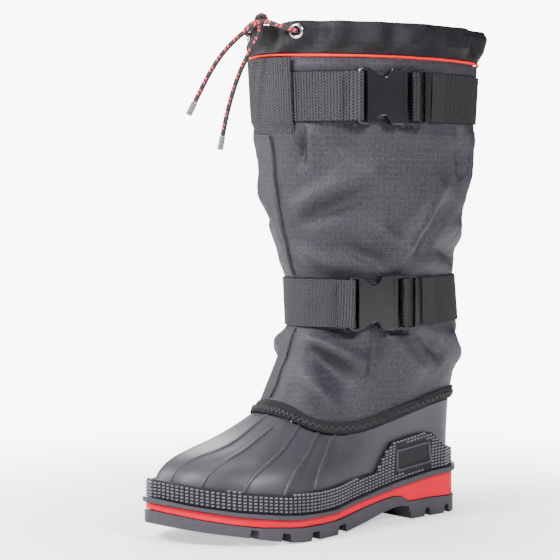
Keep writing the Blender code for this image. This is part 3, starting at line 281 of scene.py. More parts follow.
class BootSizes(bpy.types.PropertyGroup):
    fold_depth: bpy.props.FloatProperty(
        name="Fold depth", description="Strength of the creases in the shaft", default=1.0, min=0.0, max=2.0)
    knurl_pitch: bpy.props.FloatProperty(
        name="Knurl pitch", description="Distance between studs along the band", default=0.0042,
        subtype="DISTANCE", unit="LENGTH")
    knurl_rise: bpy.props.FloatProperty(
        name="Knurl rise", description="Distance between rows of studs", default=0.0026,
        subtype="DISTANCE", unit="LENGTH")
    stitch_length: bpy.props.FloatProperty(
        name="Stitch length", description="Length of one stitch", default=0.0026,
        subtype="DISTANCE", unit="LENGTH")
    thread: bpy.props.FloatProperty(
        name="Thread", description="Thickness of the sewing thread", default=0.0007,
        subtype="DISTANCE", unit="LENGTH")


class BootColours(bpy.types.PropertyGroup):
    nylon: bpy.props.FloatVectorProperty(
        name="Nylon", description="Colour of the shaft", default=(0.034, 0.029, 0.039),
        subtype="COLOR", size=3)
    webbing: bpy.props.FloatVectorProperty(
        name="Webbing", description="Colour of the straps", default=(0.036, 0.033, 0.039),
        subtype="COLOR", size=3)
    rubber: bpy.props.FloatVectorProperty(
        name="Rubber", description="Colour of the galosh", default=(0.042, 0.038, 0.047),
        subtype="COLOR", size=3)
    red: bpy.props.FloatVectorProperty(
        name="Red", description="Colour of the sole layer and piping", default=(0.68, 0.003, 0.026),
        subtype="COLOR", size=3)


def sizes():
    return bpy.context.scene.boot_sizes


def colours():
    return bpy.context.scene.boot_colours


# Shape of the shaft
def section(z):
    """The shaft's middle, half length and half width at each height."""
    heights = [row[0] for row in SHAFT_SHAPE]
    return [np.interp(z, heights, [row[k] for row in SHAFT_SHAPE]) for k in (1, 2, 3)]


def turns_of(points):
    """The turn of each point round the shaft, and its direction straight out."""
    middle, length, width = section(points[:, 2])
    angle = np.arctan2(-(points[:, 1] - CENTRE_LINE_Y) / width, (points[:, 0] - middle) / length)
    out = np.stack([np.cos(angle) / length, -np.sin(angle) / width, np.zeros(len(points))], axis=1)
    return (angle / (2 * math.pi)) % 1.0, out / np.linalg.norm(out, axis=1)[:, None]


def shaft_place(turn, z, out=0.0):
    middle, length, width = (float(value) for value in section(z))
    angle = 2 * math.pi * turn
    normal = Vector((math.cos(angle) / length, -math.sin(angle) / width, 0.0)).normalized()
    place = Vector((middle + length * math.cos(angle), CENTRE_LINE_Y - width * math.sin(angle), z))
    return place + normal * out


def binding_edge(turn):
    return np.interp(turn, np.arange(21) / 20.0, list(BINDING_EDGE) + [BINDING_EDGE[0]])


def bump(values, middle, spread):
    """One at the middle, and down to nothing on both sides."""
    return np.exp(-(((values - middle) / spread) ** 2))


def soft_step(values):
    values = np.clip(values, 0.0, 1.0)
    return values * values * (3 - 2 * values)


def fold_height(turn, z):
    """How far the fabric stands out at each place, none under the straps and at the two ends."""
    total = np.zeros(len(turn))
    places = np.stack([turn * SHAFT_GIRTH, z], axis=1)
    end, reach, power = CREASE_ENDS
    for (turn_a, z_a), (turn_b, z_b), half, rise in CREASES:
        a = np.array([turn_a * SHAFT_GIRTH, z_a])
        along = np.array([turn_b * SHAFT_GIRTH, z_b]) - a
        share = np.clip(((places - a) @ along) / (along @ along), 0.0, 1.0)
        away = np.linalg.norm(places - (a + share[:, None] * along), axis=1)
        total += rise * np.sin(math.pi * (end + reach * share)) ** power * bump(away, 0.0, half)
    angle = turn * 2 * math.pi
    round_about, up, deep = FINE_CRUMPLE
    fine = [noise.fractal(Vector((math.cos(a) * round_about, math.sin(a) * round_about, h * up)), 0.8, 2.1, 4)
            for a, h in zip(angle, z)]
    total = total * CREASE_GAIN + np.array(fine) * deep
    round_about, up, deep = SLOW_CRUMPLE
    slow = [noise.noise(Vector((math.cos(a) * round_about + 4.0, math.sin(a) * round_about, h * up)))
            for a, h in zip(angle, z)]
    total += np.array(slow) * deep
    height, place, spread = STRAP_BULGE
    for low, high in STRAP_BANDS:
        near = np.maximum(z - high, low - z)
        total = total * soft_step(near / STRAP_EASE) + height * bump(near, place, spread) * (near > 0)
    foot = binding_edge(turn) + BINDING_WIDTH
    total = total * soft_step((z - foot) / STRAP_EASE) * soft_step((FOLD_TOP - z) / FOLD_TOP_EASE)
    return total * sizes().fold_depth


def cuff_height(turn, z):
    """Gathers of the cuff: deep at the front by the eyelets, shallow at the back, with an overhang."""
    front = bump(turn, *CUFF_FRONT)
    angle = turn * 2 * math.pi
    waves = np.sin(angle * CUFF_GATHERS + 1.8 * np.sin(angle * 3) + (z - 0.38) * 90)
    lumps = np.array([noise.noise(Vector((math.cos(a) * 5.5, math.sin(a) * 5.5, h * 34)))
                      for a, h in zip(turn * LUMP_TURN, z)])
    wide, tall = EYELET_FLAT
    eyelets = np.clip(sum(bump(turn, place, wide) for place in EYELET_TURNS), 0.0, 1.0)
    seat = 1.0 - eyelets * bump(z, EYELET_SEATS[0][2], tall)
    high, place, spread, foot, rise = OVERHANG
    overhang = high * bump(turn, place, spread) * soft_step((z - foot) / rise)
    gathers = waves * (GATHER_DEPTH[0] + GATHER_DEPTH[1] * front) + lumps * LUMP_DEPTH
    return (gathers * soft_step((z - CUFF_FOOT) / CUFF_RISE) + overhang) * seat


# Making meshes
def only(thing):
    bpy.ops.object.select_all(action="DESELECT")
    thing.select_set(True)
    bpy.context.view_layer.objects.active = thing


@contextmanager
def editing(thing):
    """Edit mode on one object, with all of it selected."""
    only(thing)
    bpy.ops.object.mode_set(mode="EDIT")
    bpy.ops.mesh.select_all(action="SELECT")
    yield
    bpy.ops.object.mode_set(mode="OBJECT")


def mesh_object(name, points, faces):
    mesh = bpy.data.meshes.new(name)
    mesh.from_pydata([tuple(point) for point in points], [], faces)
    mesh.update()
    thing = bpy.data.objects.new(name, mesh)
    bpy.context.scene.collection.objects.link(thing)
    return thing


def merged_copy(node, name):
    """A copy of a solid's mesh, its loose triangles merged and turned back into larger faces."""
    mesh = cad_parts[node].data.copy()
    mesh.materials.clear()
    thing = bpy.data.objects.new(name, mesh)
    bpy.context.scene.collection.objects.link(thing)
    only(thing)
    if mesh.has_custom_normals:
        bpy.ops.mesh.customdata_custom_splitnormals_clear()
    with editing(thing):
        bpy.ops.mesh.remove_doubles(threshold=0.00002)
        bpy.ops.mesh.tris_convert_to_quads(face_threshold=math.radians(25), shape_threshold=math.radians(60))
    return thing


def slice_level(thing, heights):
    with editing(thing):
        for height in heights:
            bpy.ops.mesh.select_all(action="SELECT")
            bpy.ops.mesh.bisect(plane_co=(0.0, 0.0, height), plane_no=(0.0, 0.0, 1.0))


def apply(thing, kind, **values):
    only(thing)
    modifier = thing.modifiers.new(kind.lower(), kind)
    for key, value in values.items():
        setattr(modifier, key, value)
    bpy.ops.object.modifier_apply(modifier=modifier.name)


def smooth_up(thing, levels, sharpness=50.0):
    """Rounds a mesh by subdivision and keeps its sharp edges."""
    with editing(thing):
        bpy.ops.mesh.select_mode(type="EDGE")
        bpy.ops.mesh.select_all(action="DESELECT")
        bpy.ops.mesh.edges_select_sharp(sharpness=math.radians(sharpness))
        bpy.ops.transform.edge_crease(value=0.85)
    apply(thing, "SUBSURF", levels=levels, render_levels=levels)
    bpy.ops.object.shade_smooth()


def read_points(thing):
    points = np.zeros(len(thing.data.vertices) * 3)
    thing.data.vertices.foreach_get("co", points)
    return points.reshape(-1, 3)


def write_points(thing, points):
    thing.data.vertices.foreach_set("co", points.reshape(-1))
    thing.data.update()


def push(thing, height):
    """Moves each point straight out of the shaft by a height that depends on its turn and level."""
    points = read_points(thing)
    turn, out = turns_of(points)
    write_points(thing, points + out * height(turn, points[:, 2])[:, None])


def wrap_map(thing):
    """A map round the boot in metres: along the girth and up."""
    points = read_points(thing)
    turn = turns_of(points)[0]
    mesh = thing.data
    while mesh.uv_layers:
        mesh.uv_layers.remove(mesh.uv_layers[0])
    layer = mesh.uv_layers.new(name="UVMap")
    spots = np.zeros((len(mesh.loops), 2))
    for face in mesh.polygons:
        turns = [turn[mesh.loops[i].vertex_index] for i in face.loop_indices]
        wraps = max(turns) - min(turns) > 0.5
        for i, t in zip(face.loop_indices, turns):
            if wraps and t < 0.5:
                t += 1.0
            spots[i] = (t * SHAFT_GIRTH, points[mesh.loops[i].vertex_index, 2])
    layer.data.foreach_set("uv", spots.reshape(-1))


def finish_piece(thing, material, slot, *nodes, second=None):
    thing.data.materials.clear()
    thing.data.materials.append(material)
    if second is not None:
        thing.data.materials.append(second)
        for face in thing.data.polygons:
            face.material_index = 1 if faces_in(face) else 0
    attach(thing, "root")
    if nodes:
        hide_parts(*nodes)
    return thing


def dress(node, name, key, slot, levels, sharpness=50.0, cuts=(), height=None, second=None, mapped=True):
    """A piece made from a solid: cut level, rounded, moved out by a height, mapped, given its material and
    attached in place of the solid.
    """
    thing = merged_copy(node, name)
    if len(cuts):
        slice_level(thing, cuts)
    smooth_up(thing, levels, sharpness)
    if height:
        push(thing, height)
    if mapped:
        wrap_map(thing)
    return finish_piece(thing, MATERIALS[key], slot, node, second=second and MATERIALS[second])


def faces_in(face):
    """True for a face that looks towards the inside of the shaft."""
    place = np.array([face.center])
    return float(turns_of(place)[1][0] @ np.array(face.normal)) < -0.3


def buckle_axes(node):
    """A buckle piece's direction along the strap and out, its near end, its outer face and its height."""
    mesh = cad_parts[node].data
    points = np.array([tuple(vertex.co) for vertex in mesh.vertices])
    guess = Vector(turns_of(points.mean(axis=0)[None])[1][0])
    out = sum((face.normal * face.area for face in mesh.polygons if face.normal.dot(guess) > 0.9), Vector())
    out = Vector((out.x, out.y, 0.0)).normalized()
    along = Vector((0, 0, 1)).cross(out)
    level = (points[:, 2].min() + points[:, 2].max()) / 2
    return along, out, float((points @ np.array(along)).min()), float((points @ np.array(out)).max()), level


def tree_of(*things):
    points, faces = [], []
    for thing in things:
        mesh = thing.data
        start = len(points)
        points += [vertex.co.copy() for vertex in mesh.vertices]
        faces += [tuple(start + i for i in face.vertices) for face in mesh.polygons]
    return BVHTree.FromPolygons(points, faces)


def smooth_line(points, step):
    """Points at an even step on a smooth curve through the given points."""
    rows = [Vector(point) for point in points]
    rows = [rows[0] * 2 - rows[1]] + rows + [rows[-1] * 2 - rows[-2]]
    fine = []
    for before, start, end, after in zip(rows, rows[1:], rows[2:], rows[3:]):
        for k in range(24):
            t = k / 24
            fine.append(0.5 * (2 * start + (end - before) * t
                               + (2 * before - 5 * start + 4 * end - after) * t * t
                               + (3 * start - before - 3 * end + after) * t ** 3))
    fine.append(rows[-2])
    walked = np.cumsum([0.0] + [(b - a).length for a, b in zip(fine, fine[1:])])
    places = np.linspace(0.0, walked[-1], max(2, round(walked[-1] / step)) + 1)
    line = np.array([tuple(point) for point in fine])
    return [Vector([float(np.interp(place, walked, line[:, k])) for k in range(3)]) for place in places]


def eased(line, times, fixed=1):
    """A line whose points drift to the middle of their neighbours, apart from its ends."""
    for _ in range(times):
        rows = zip(line[fixed - 1:], line[fixed:-1], line[fixed + 1:])
        line = line[:fixed] + [(a + b * 2 + c) / 4 for a, b, c in rows] + line[-1:]
    return line


def eased_ring(values, times):
    for _ in range(times):
        values = (np.roll(values, 1, axis=0) + 2 * values + np.roll(values, -1, axis=0)) / 4
    return values


def heading(line, i):
    return (line[min(i + 1, len(line) - 1)] - line[max(i - 1, 0)]).normalized()


def skin(count, per):
    """Faces of a closed tube of so many rings, with both its ends."""
    faces = []
    for i in range(count - 1):
        for k in range(per):
            m = (k + 1) % per
            faces.append((i * per + k, i * per + m, (i + 1) * per + m, (i + 1) * per + k))
    return faces + [tuple(reversed(range(per))), tuple((count - 1) * per + k for k in range(per))]


def sweep(name, line, profile, sides):
    """A strip with a cross-section, laid along a line. Each side gives the line's own outward direction."""
    points = []
    for i, (place, out) in enumerate(zip(line, sides)):
        across = heading(line, i).cross(out).normalized()
        fade = min(1.0, 0.35 + min(i, len(line) - 1 - i) / 4)
        points += [place + across * u + out * (v * fade if v > 0 else v) for u, v in profile]
    thing = mesh_object(name, points, skin(len(line), len(profile)))
    with editing(thing):
        bpy.ops.mesh.normals_make_consistent(inside=False)
    bpy.ops.object.shade_smooth()
    return thing


def tube(name, line, diameter, sides=12):
    """A round cord along a line, with its length and turn as its map, so that the braid follows it."""
    points, spots = [], []
    across = (line[1] - line[0]).orthogonal().normalized()
    walked = 0.0
    for i, place in enumerate(line):
        along = heading(line, i)
        across = (across - along * across.dot(along)).normalized()
        third = along.cross(across)
        if i:
            walked += (place - line[i - 1]).length
        for k in range(sides):
            angle = 2 * math.pi * k / sides
            points.append(place + (across * math.cos(angle) + third * math.sin(angle)) * diameter / 2)
        spots.append(walked)
    thing = mesh_object(name, points, skin(len(line), sides))
    layer = thing.data.uv_layers.new(name="UVMap")
    for face in thing.data.polygons:
        rows = [divmod(thing.data.loops[i].vertex_index, sides) for i in face.loop_indices]
        wraps = len(rows) == 4 and {0, sides - 1} <= {k for _, k in rows}
        for i, (row, k) in zip(face.loop_indices, rows):
            layer.data[i].uv = (spots[row], (k + sides if wraps and k == 0 else k) / sides)
    only(thing)
    bpy.ops.object.shade_smooth()
    return thing


def copies(name, shape, places):
    """One modelled shape repeated at each place, given as its origin and three directions."""
    base = np.array([tuple(vertex.co) for vertex in shape.data.vertices])
    faces = [tuple(face.vertices) for face in shape.data.polygons]
    points, all_faces = [], []
    for origin, x, y, z in places:
        start = len(points)
        turn = np.array([tuple(x), tuple(y), tuple(z)])
        points += list(base @ turn + np.array(tuple(origin)))
        all_faces += [tuple(start + i for i in face) for face in faces]
    bpy.data.objects.remove(shape)
    return mesh_object(name, points, all_faces)


# Materials
def tools(tree):
    """Two ways to add to a node tree: any node with its inputs, and a sum."""

    def put(kind, at=None, **values):
        node = tree.nodes.new(kind)
        for key, value in values.items():
            setattr(node, key, value)
        for key, value in (at or {}).items():
            if isinstance(value, bpy.types.NodeSocket):
                tree.links.new(value, node.inputs[key])
            else:
                node.inputs[key].default_value = value
        return node

    def maths(operation, *values, clamp=False):
        return put("ShaderNodeMath", dict(enumerate(values)), operation=operation, use_clamp=clamp).outputs[0]

    return put, maths


def clouds(put, place, scale, detail=2.0, roughness=0.5):
    return put("ShaderNodeTexNoise", {"Vector": place, "Scale": scale, "Detail": detail,
                                      "Roughness": roughness}).outputs["Fac"]


def weighted(maths, *parts, clamp=False):
    """The sum of values, each with its weight."""
    total = maths("MULTIPLY", *parts[0])
    for part in parts[1:]:
        total = maths("ADD", total, maths("MULTIPLY", *part), clamp=clamp and part is parts[-1])
    return total


def effect(name, outputs, **inputs):
    """A new node group. An input without a number is a place, and every output is a number."""
    group = bpy.data.node_groups.new(name, "ShaderNodeTree")
    for title, value in inputs.items():
        kind = "NodeSocketVector" if value is None else "NodeSocketFloat"
        socket = group.interface.new_socket(name=title, in_out="INPUT", socket_type=kind)
        if value is not None:
            socket.default_value = value
    for title in outputs:
        group.interface.new_socket(name=title, in_out="OUTPUT", socket_type="NodeSocketFloat")
    return group, group.nodes.new("NodeGroupInput").outputs, group.nodes.new("NodeGroupOutput").inputs


def weave_group():
    """Crossing threads, uneven both ways, with a coarser grid of thick threads over them."""
    group, taken, given = effect("Weave", ("Height", "Tone"), Map=None, Threads=900.0, Grid=210.0)
    put, maths = tools(group)
    axes = put("ShaderNodeSeparateXYZ", {0: taken["Map"]}).outputs[:2]

    def waves(count):
        turns = maths("MULTIPLY", taken[count], math.tau)
        return [maths("SINE", maths("MULTIPLY", axis, turns)) for axis in axes]

    threads = maths("MULTIPLY", *waves("Threads"))
    coarse = maths("MAXIMUM", *[maths("POWER", maths("MAXIMUM", wave, 0.0), 14.0) for wave in waves("Grid")])
    slubs = []
    for stretch in ((330.0, 1100.0, 1.0), (900.0, 300.0, 1.0)):
        place = put("ShaderNodeVectorMath", {0: taken["Map"], 1: stretch}, operation="MULTIPLY").outputs[0]
        slubs.append(clouds(put, place, 1.0))
    slub = maths("ADD", maths("MULTIPLY", maths("ADD", *slubs), 1.9), -1.4)
    cloud = clouds(put, taken["Map"], 60.0, 4.0)
    group.links.new(weighted(maths, (threads, 0.3), (coarse, 0.3), (slub, 0.8)), given["Height"])
    group.links.new(weighted(maths, (slub, 0.7), (cloud, 0.3), (coarse, 0.34), clamp=True), given["Tone"])
    return group


def webbing_group():
    """Herringbone rows of a heavy woven tape. Its tone follows the rows' height, so raised threads are
    painted lighter and the grooves darker: painted highlight and shade.
    """
    group, taken, given = effect("Webbing", ("Height", "Tone"), Map=None, Rows=620.0)
    put, maths = tools(group)
    across, up = put("ShaderNodeSeparateXYZ", {0: taken["Map"]}).outputs[:2]
    rows = taken["Rows"]
    zigzag = maths("PINGPONG", maths("MULTIPLY", across, rows), 1.0)
    slant = maths("ADD", maths("MULTIPLY", up, rows), zigzag)
    wave = maths("SINE", maths("MULTIPLY", slant, math.tau))
    column = maths("ABSOLUTE", maths("SINE", maths("MULTIPLY", across, maths("MULTIPLY", rows, math.pi))))
    height = maths("ADD", maths("MULTIPLY", wave, 0.5), column)
    cloud = clouds(put, taken["Map"], 300.0, 3.0)
    group.links.new(height, given["Height"])
    # Tone from height and random clouds: painted highlight on the raised threads, painted shade in the
    # grooves.
    group.links.new(weighted(maths, (height, 0.62), (cloud, 0.22), clamp=True), given["Tone"])
    return group


def grain_group():
    """Fine grain and slow clouds of a moulded surface, with scuffs."""
    group, taken, given = effect("Grain", ("Height", "Cloud", "Scuff"), Place=None, Scale=900.0)
    put, maths = tools(group)
    place = taken["Place"]
    scratch = clouds(put, place, 160.0, 8.0, 0.75)
    group.links.new(clouds(put, place, taken["Scale"], 4.0), given["Height"])
    group.links.new(clouds(put, place, 22.0, 5.0), given["Cloud"])
    group.links.new(maths("MULTIPLY", maths("SUBTRACT", scratch, 0.56), 7.0, clamp=True), given["Scuff"])
    return group


GROUPS = {}
MATERIALS = {}


def new_material(name, roughness, sheen=0.0, specular=0.5, metallic=0.0):
    """A new material, its node tree and its shader's inputs."""
    material = bpy.data.materials.new(name)
    material.use_nodes = True
    tree = material.node_tree
    shader = tree.nodes["Principled BSDF"].inputs
    for title, value in {"Roughness": roughness, "Metallic": metallic, "Specular IOR Level": specular,
                         "Sheen Weight": sheen, "Sheen Roughness": 0.5}.items():
        shader[title].default_value = value
    return material, tree, shader


def blend_colour(put, factor, dark, light):
    return put("ShaderNodeMix", {"Factor": factor, 6: (*dark, 1.0), 7: (*light, 1.0)},
               data_type="RGBA").outputs[2]


def relief(put, height, strength, distance):
    return put("ShaderNodeBump", {"Strength": strength, "Distance": distance, "Height": height}).outputs[0]


def scaled(colour, share):
    return tuple(min(1.0, channel * share) for channel in colour)


def cloth(name, group, count, colour, spread, bump_strength, roughness=0.55, specular=0.25):
    """A woven material, whose effect group drives its tone and its relief."""
    material, tree, shader = new_material(name, roughness, specular=specular)
    put, _ = tools(tree)
    place = put("ShaderNodeUVMap", uv_map="UVMap").outputs[0]
    made = put("ShaderNodeGroup", {"Map": place, "Threads" if group == "Weave" else "Rows": count},
               node_tree=GROUPS[group]).outputs
    tone = blend_colour(put, made["Tone"], scaled(colour, 1 - spread), scaled(colour, 1 + spread))
    tree.links.new(tone, shader["Base Color"])
    tree.links.new(relief(put, made["Height"], bump_strength, 0.0004), shader["Normal"])
    return material


def moulded(name, colour, roughness, grain=900.0, bump_strength=0.12, scuff=0.35, specular=0.5):
    """A cast material with grain, slow clouds and worn spots."""
    material, tree, shader = new_material(name, roughness, specular=specular)
    put, maths = tools(tree)
    place = put("ShaderNodeTexCoord").outputs["Object"]
    made = put("ShaderNodeGroup", {"Place": place, "Scale": grain}, node_tree=GROUPS["Grain"]).outputs
    body = blend_colour(put, made["Cloud"], scaled(colour, 0.82), scaled(colour, 1.18))
    worn = put("ShaderNodeMix", {"Factor": maths("MULTIPLY", made["Scuff"], scuff), 6: body,
                                 7: (*scaled(colour, 1.7), 1.0)}, data_type="RGBA").outputs[2]
    rough = put("ShaderNodeMapRange", {"Value": made["Cloud"], "To Min": roughness - 0.07,
                                       "To Max": roughness + 0.09}).outputs[0]
    tree.links.new(worn, shader["Base Color"])
    tree.links.new(rough, shader["Roughness"])
    tree.links.new(relief(put, made["Height"], bump_strength, 0.0003), shader["Normal"])
    return material


def braid():
    """Black cord with slanting red flecks in pairs, and crossing strands."""
    material, tree, shader = new_material("Cord braid", 0.7, sheen=0.1)
    put, maths = tools(tree)
    place = put("ShaderNodeUVMap", uv_map="UVMap").outputs[0]
    length, turn = put("ShaderNodeSeparateXYZ", {0: place}).outputs[:2]
    slant = maths("FRACT", maths("ADD", maths("DIVIDE", length, FLECK_REPEAT), maths("MULTIPLY", turn, 0.5)))
    near, pair = [maths("LESS_THAN", maths("ABSOLUTE", maths("SUBTRACT", slant, spot)), FLECK_HALF)
                  for spot in FLECK_PLACES]
    side = maths("GREATER_THAN", maths("SINE", maths("MULTIPLY", turn, 2 * math.tau)), -0.1)
    fleck = maths("MULTIPLY", maths("MAXIMUM", near, pair), side)
    tree.links.new(blend_colour(put, fleck, CORD_BLACK, CORD_RED), shader["Base Color"])
    along, round_about = maths("MULTIPLY", length, 500.0), maths("MULTIPLY", turn, 5.0)
    strands = maths("MULTIPLY", *[maths("SINE", maths("MULTIPLY", maths(way, along, round_about), math.tau))
                                  for way in ("ADD", "SUBTRACT")])
    tree.links.new(relief(put, strands, 0.6, 0.0004), shader["Normal"])
    return material


def speckled(name, roughness, scale, detail, dark, light, transmission=0.0, **values):
    """A smooth material whose colour drifts between two tones."""
    material, tree, shader = new_material(name, roughness, **values)
    put, _ = tools(tree)
    cloud = clouds(put, put("ShaderNodeTexCoord").outputs["Object"], scale, detail)
    tree.links.new(blend_colour(put, cloud, dark, light), shader["Base Color"])
    shader["Transmission Weight"].default_value = transmission
    return material


# Operators
class BOOT_OT_materials(bpy.types.Operator):
    """Make the materials of every piece"""
    bl_idname = "boot.materials"
    bl_label = "Materials"

    def execute(self, context):
        GROUPS.update(Weave=weave_group(), Webbing=webbing_group(), Grain=grain_group())
        shade = colours()
        nylon, webbing, rubber = tuple(shade.nylon), tuple(shade.webbing), tuple(shade.rubber)
        MATERIALS.update(
            nylon=cloth("Shaft nylon", "Weave", 900.0, scaled(nylon, 0.92), 0.60, 0.5, 0.46, 0.28),
            # The cuff's nylon is the shaft's nylon darkened to a quarter, as painted shade on the less lit
            # cuff.
            cuff=cloth("Cuff nylon with painted shade", "Weave", 900.0, scaled(nylon, 0.24), 0.6, 0.5, 0.55, 0.24),
            lining=cloth("Shaft lining", "Weave", 500.0, (0.020, 0.019, 0.021), 0.2, 0.5, 0.9),
            webbing=cloth("Strap webbing", "Webbing", 400.0, scaled(webbing, 0.80), 0.95, 1.0, 0.6),
            # Rear webbing: the strap webbing darkened to under half, as painted shade on the back of the
            # boot.
            dark_webbing=cloth("Rear webbing with painted shade", "Webbing", 400.0, scaled(webbing, 0.36), 0.7, 0.9, 0.65),
            tape=cloth("Binding tape", "Webbing", 900.0, scaled(webbing, 0.42), 0.6, 0.8, 0.8),
            tag=cloth("Bare tag", "Weave", 700.0, (0.016, 0.015, 0.017), 0.3, 0.5, 0.7),
            thread=cloth("Thread", "Weave", 1500.0, (0.055, 0.051, 0.058), 0.2, 0.2, 0.6),
            rubber=moulded("Galosh rubber", rubber, 0.40, scuff=0.5, specular=0.30),
            # The studs take the galosh rubber lightened 3.2 times, as painted highlight on their lit tops.
            stud=moulded("Stud rubber with painted highlight", scaled(rubber, 3.2), 0.34, scuff=0.5),
            # Between the studs the galosh rubber is darkened to under a third, as painted shade in the gaps.
            valley=moulded("Rubber between the studs with painted shade", scaled(rubber, 0.30), 0.6, specular=0.2),
            tread=moulded("Tread rubber", scaled(rubber, 1.1), 0.60, 500.0, 0.25, specular=0.3),
            red_rubber=moulded("Red sole rubber", tuple(shade.red), 0.55, scuff=0.05, specular=0.08),
            piping=moulded("Red piping", (0.85, 0.008, 0.004), 0.55, scuff=0.05, specular=0.2),
            plastic=moulded("Buckle plastic", (0.0100, 0.0093, 0.0118), 0.24, 260.0, 0.03, specular=0.55),
            felt=moulded("Insole felt", (0.06, 0.058, 0.06), 0.95, 700.0, 0.6, scuff=0.5),
            braid=braid(),
            clear=speckled("Clear tip", 0.12, 700.0, 2.0, (0.20, 0.18, 0.19), (0.40, 0.37, 0.38),
                           transmission=0.55),
            metal=speckled("Eyelet metal", 0.25, 400.0, 4.0, (0.55, 0.55, 0.58), (0.86, 0.86, 0.88),
                           metallic=1.0),
        )
        return {"FINISHED"}


class BOOT_OT_camera(bpy.types.Operator):
    """Set up the camera at the photograph's angle"""
    bl_idname = "boot.camera"
    bl_label = "Camera"

    def execute(self, context):
        bpy.ops.object.camera_add(location=CAMERA_PLACE, rotation=[math.radians(a) for a in CAMERA_TURN])
        camera = context.object
        camera.data.lens = CAMERA_LENS
        camera.data.sensor_width = 36.0
        camera.data.clip_start = 0.05
        context.scene.camera = camera
        return {"FINISHED"}


class BOOT_OT_cords(bpy.types.Operator):
    """Lay the drawcord from each eyelet through the knot to its tip"""
    bl_idname = "boot.cords"
    bl_label = "Drawcord"

    def execute(self, context):
        knot = Vector(KNOT_MIDDLE)
        out, wide, high = KNOT_LOOP
        loops = []
        for k in range(KNOT_STEPS):
            t = 2 * math.pi * k / KNOT_STEPS
            loops.append(knot + Vector((-math.sin(3 * t) * out, (math.sin(t) + 2 * math.sin(2 * t)) * wide,
                                        (math.cos(t) - 2 * math.cos(2 * t)) * high)))
        twist = tube("drawcord_tie", loops + loops[:1], CORD_DIAMETER * KNOT_THICK)
        finish_piece(twist, MATERIALS["braid"], "cord_braid", "drawcord_knot")
        self.lay(1, -1, FIRST_END, [twist])
        self.lay(2, 1, SECOND_END, [])
        return {"FINISHED"}

    def lay(self, number, side, route, knotted):
        """One end of the cord, from its eyelet through the knot to its tip, and the eyelet's ring."""
        knot, seat = Vector(KNOT_MIDDLE), Vector(EYELET_SEATS[number - 1])
        out = Vector([float(value) for value in turns_of(np.array([tuple(seat)]))[1][0]])
        mouth, throat = (knot + Vector((x, side * y, z)) for x, y, z in (KNOT_MOUTH, KNOT_THROAT))
        run = [seat + out * EYELET_LIFT]
        run += [seat + out * lift + (mouth - seat) * share for share, lift in CORD_BOW]
        run += [mouth, throat]
        line = eased(smooth_line(run + [Vector(point) for point in route], CORD_STEP), CORD_PASSES, 2)
        cord = tube(f"drawcord_{number}", line, CORD_DIAMETER)
        nodes = f"drawcord_run_{number}", f"drawcord_end_{number}"
        finish_piece(cord, MATERIALS["braid"], "cord_braid", *nodes)
        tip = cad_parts[f"aglet_{number}"]
        tip.data.materials.clear()
        tip.data.materials.append(MATERIALS["clear"])
        tuple(line[0])
        [tuple(p) for p in line]
        dress(f"eyelet_{number}", f"eyelet_ring_{number}", "metal", "eyelet_metal", 2, mapped=False)


class BOOT_OT_shaft(bpy.types.Operator):
    """Shape the padded nylon shaft with its creases"""
    bl_idname = "boot.shaft"
    bl_label = "Shaft"

    def execute(self, context):
        shaft = dress("shaft", "shaft_fabric", "nylon", "grey_nylon", 2, cuts=np.arange(*SHAFT_SLICES),
                      height=fold_height, second="lining")
        for node in ("back_seam_1", "back_seam_2", "back_seam_3", "front_seam_1", "front_seam_2"):
            dress(node, node + "_welt", "nylon", "grey_nylon", 1, cuts=np.arange(*SEAM_SLICES),
                  height=fold_height)
        return {"FINISHED"}


class BOOT_OT_cuff(bpy.types.Operator):
    """Shape the gathered cuff, the piping and the binding"""
    bl_idname = "boot.cuff"
    bl_label = "Cuff and trim"

    def execute(self, context):
        cuff = dress("cuff", "cuff_fabric", "cuff", "grey_nylon", 2, cuts=np.arange(*CUFF_SLICES),
                     height=cuff_height, second="lining")
        dress("piping", "piping_cord", "piping", "red_piping", 1, 80.0, mapped=False)
        dress("binding", "binding_tape", "tape", "binding_tape", 2)
        return {"FINISHED"}


class BOOT_OT_straps(bpy.types.Operator):
    """Weave the straps, the upright loop and the bare tags"""
    bl_idname = "boot.straps"
    bl_label = "Straps"

    def execute(self, context):
        for node, key, slot in STRAPS:
            low, high = (corner.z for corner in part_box(node))
            cuts = [low + STRAP_CUTS[0], low + STRAP_CUTS[1], (low + high) / 2,
                    high - STRAP_CUTS[1], high - STRAP_CUTS[0]]
            dress(node, node + "_woven", key, slot, 2, 40.0, cuts)
        return {"FINISHED"}


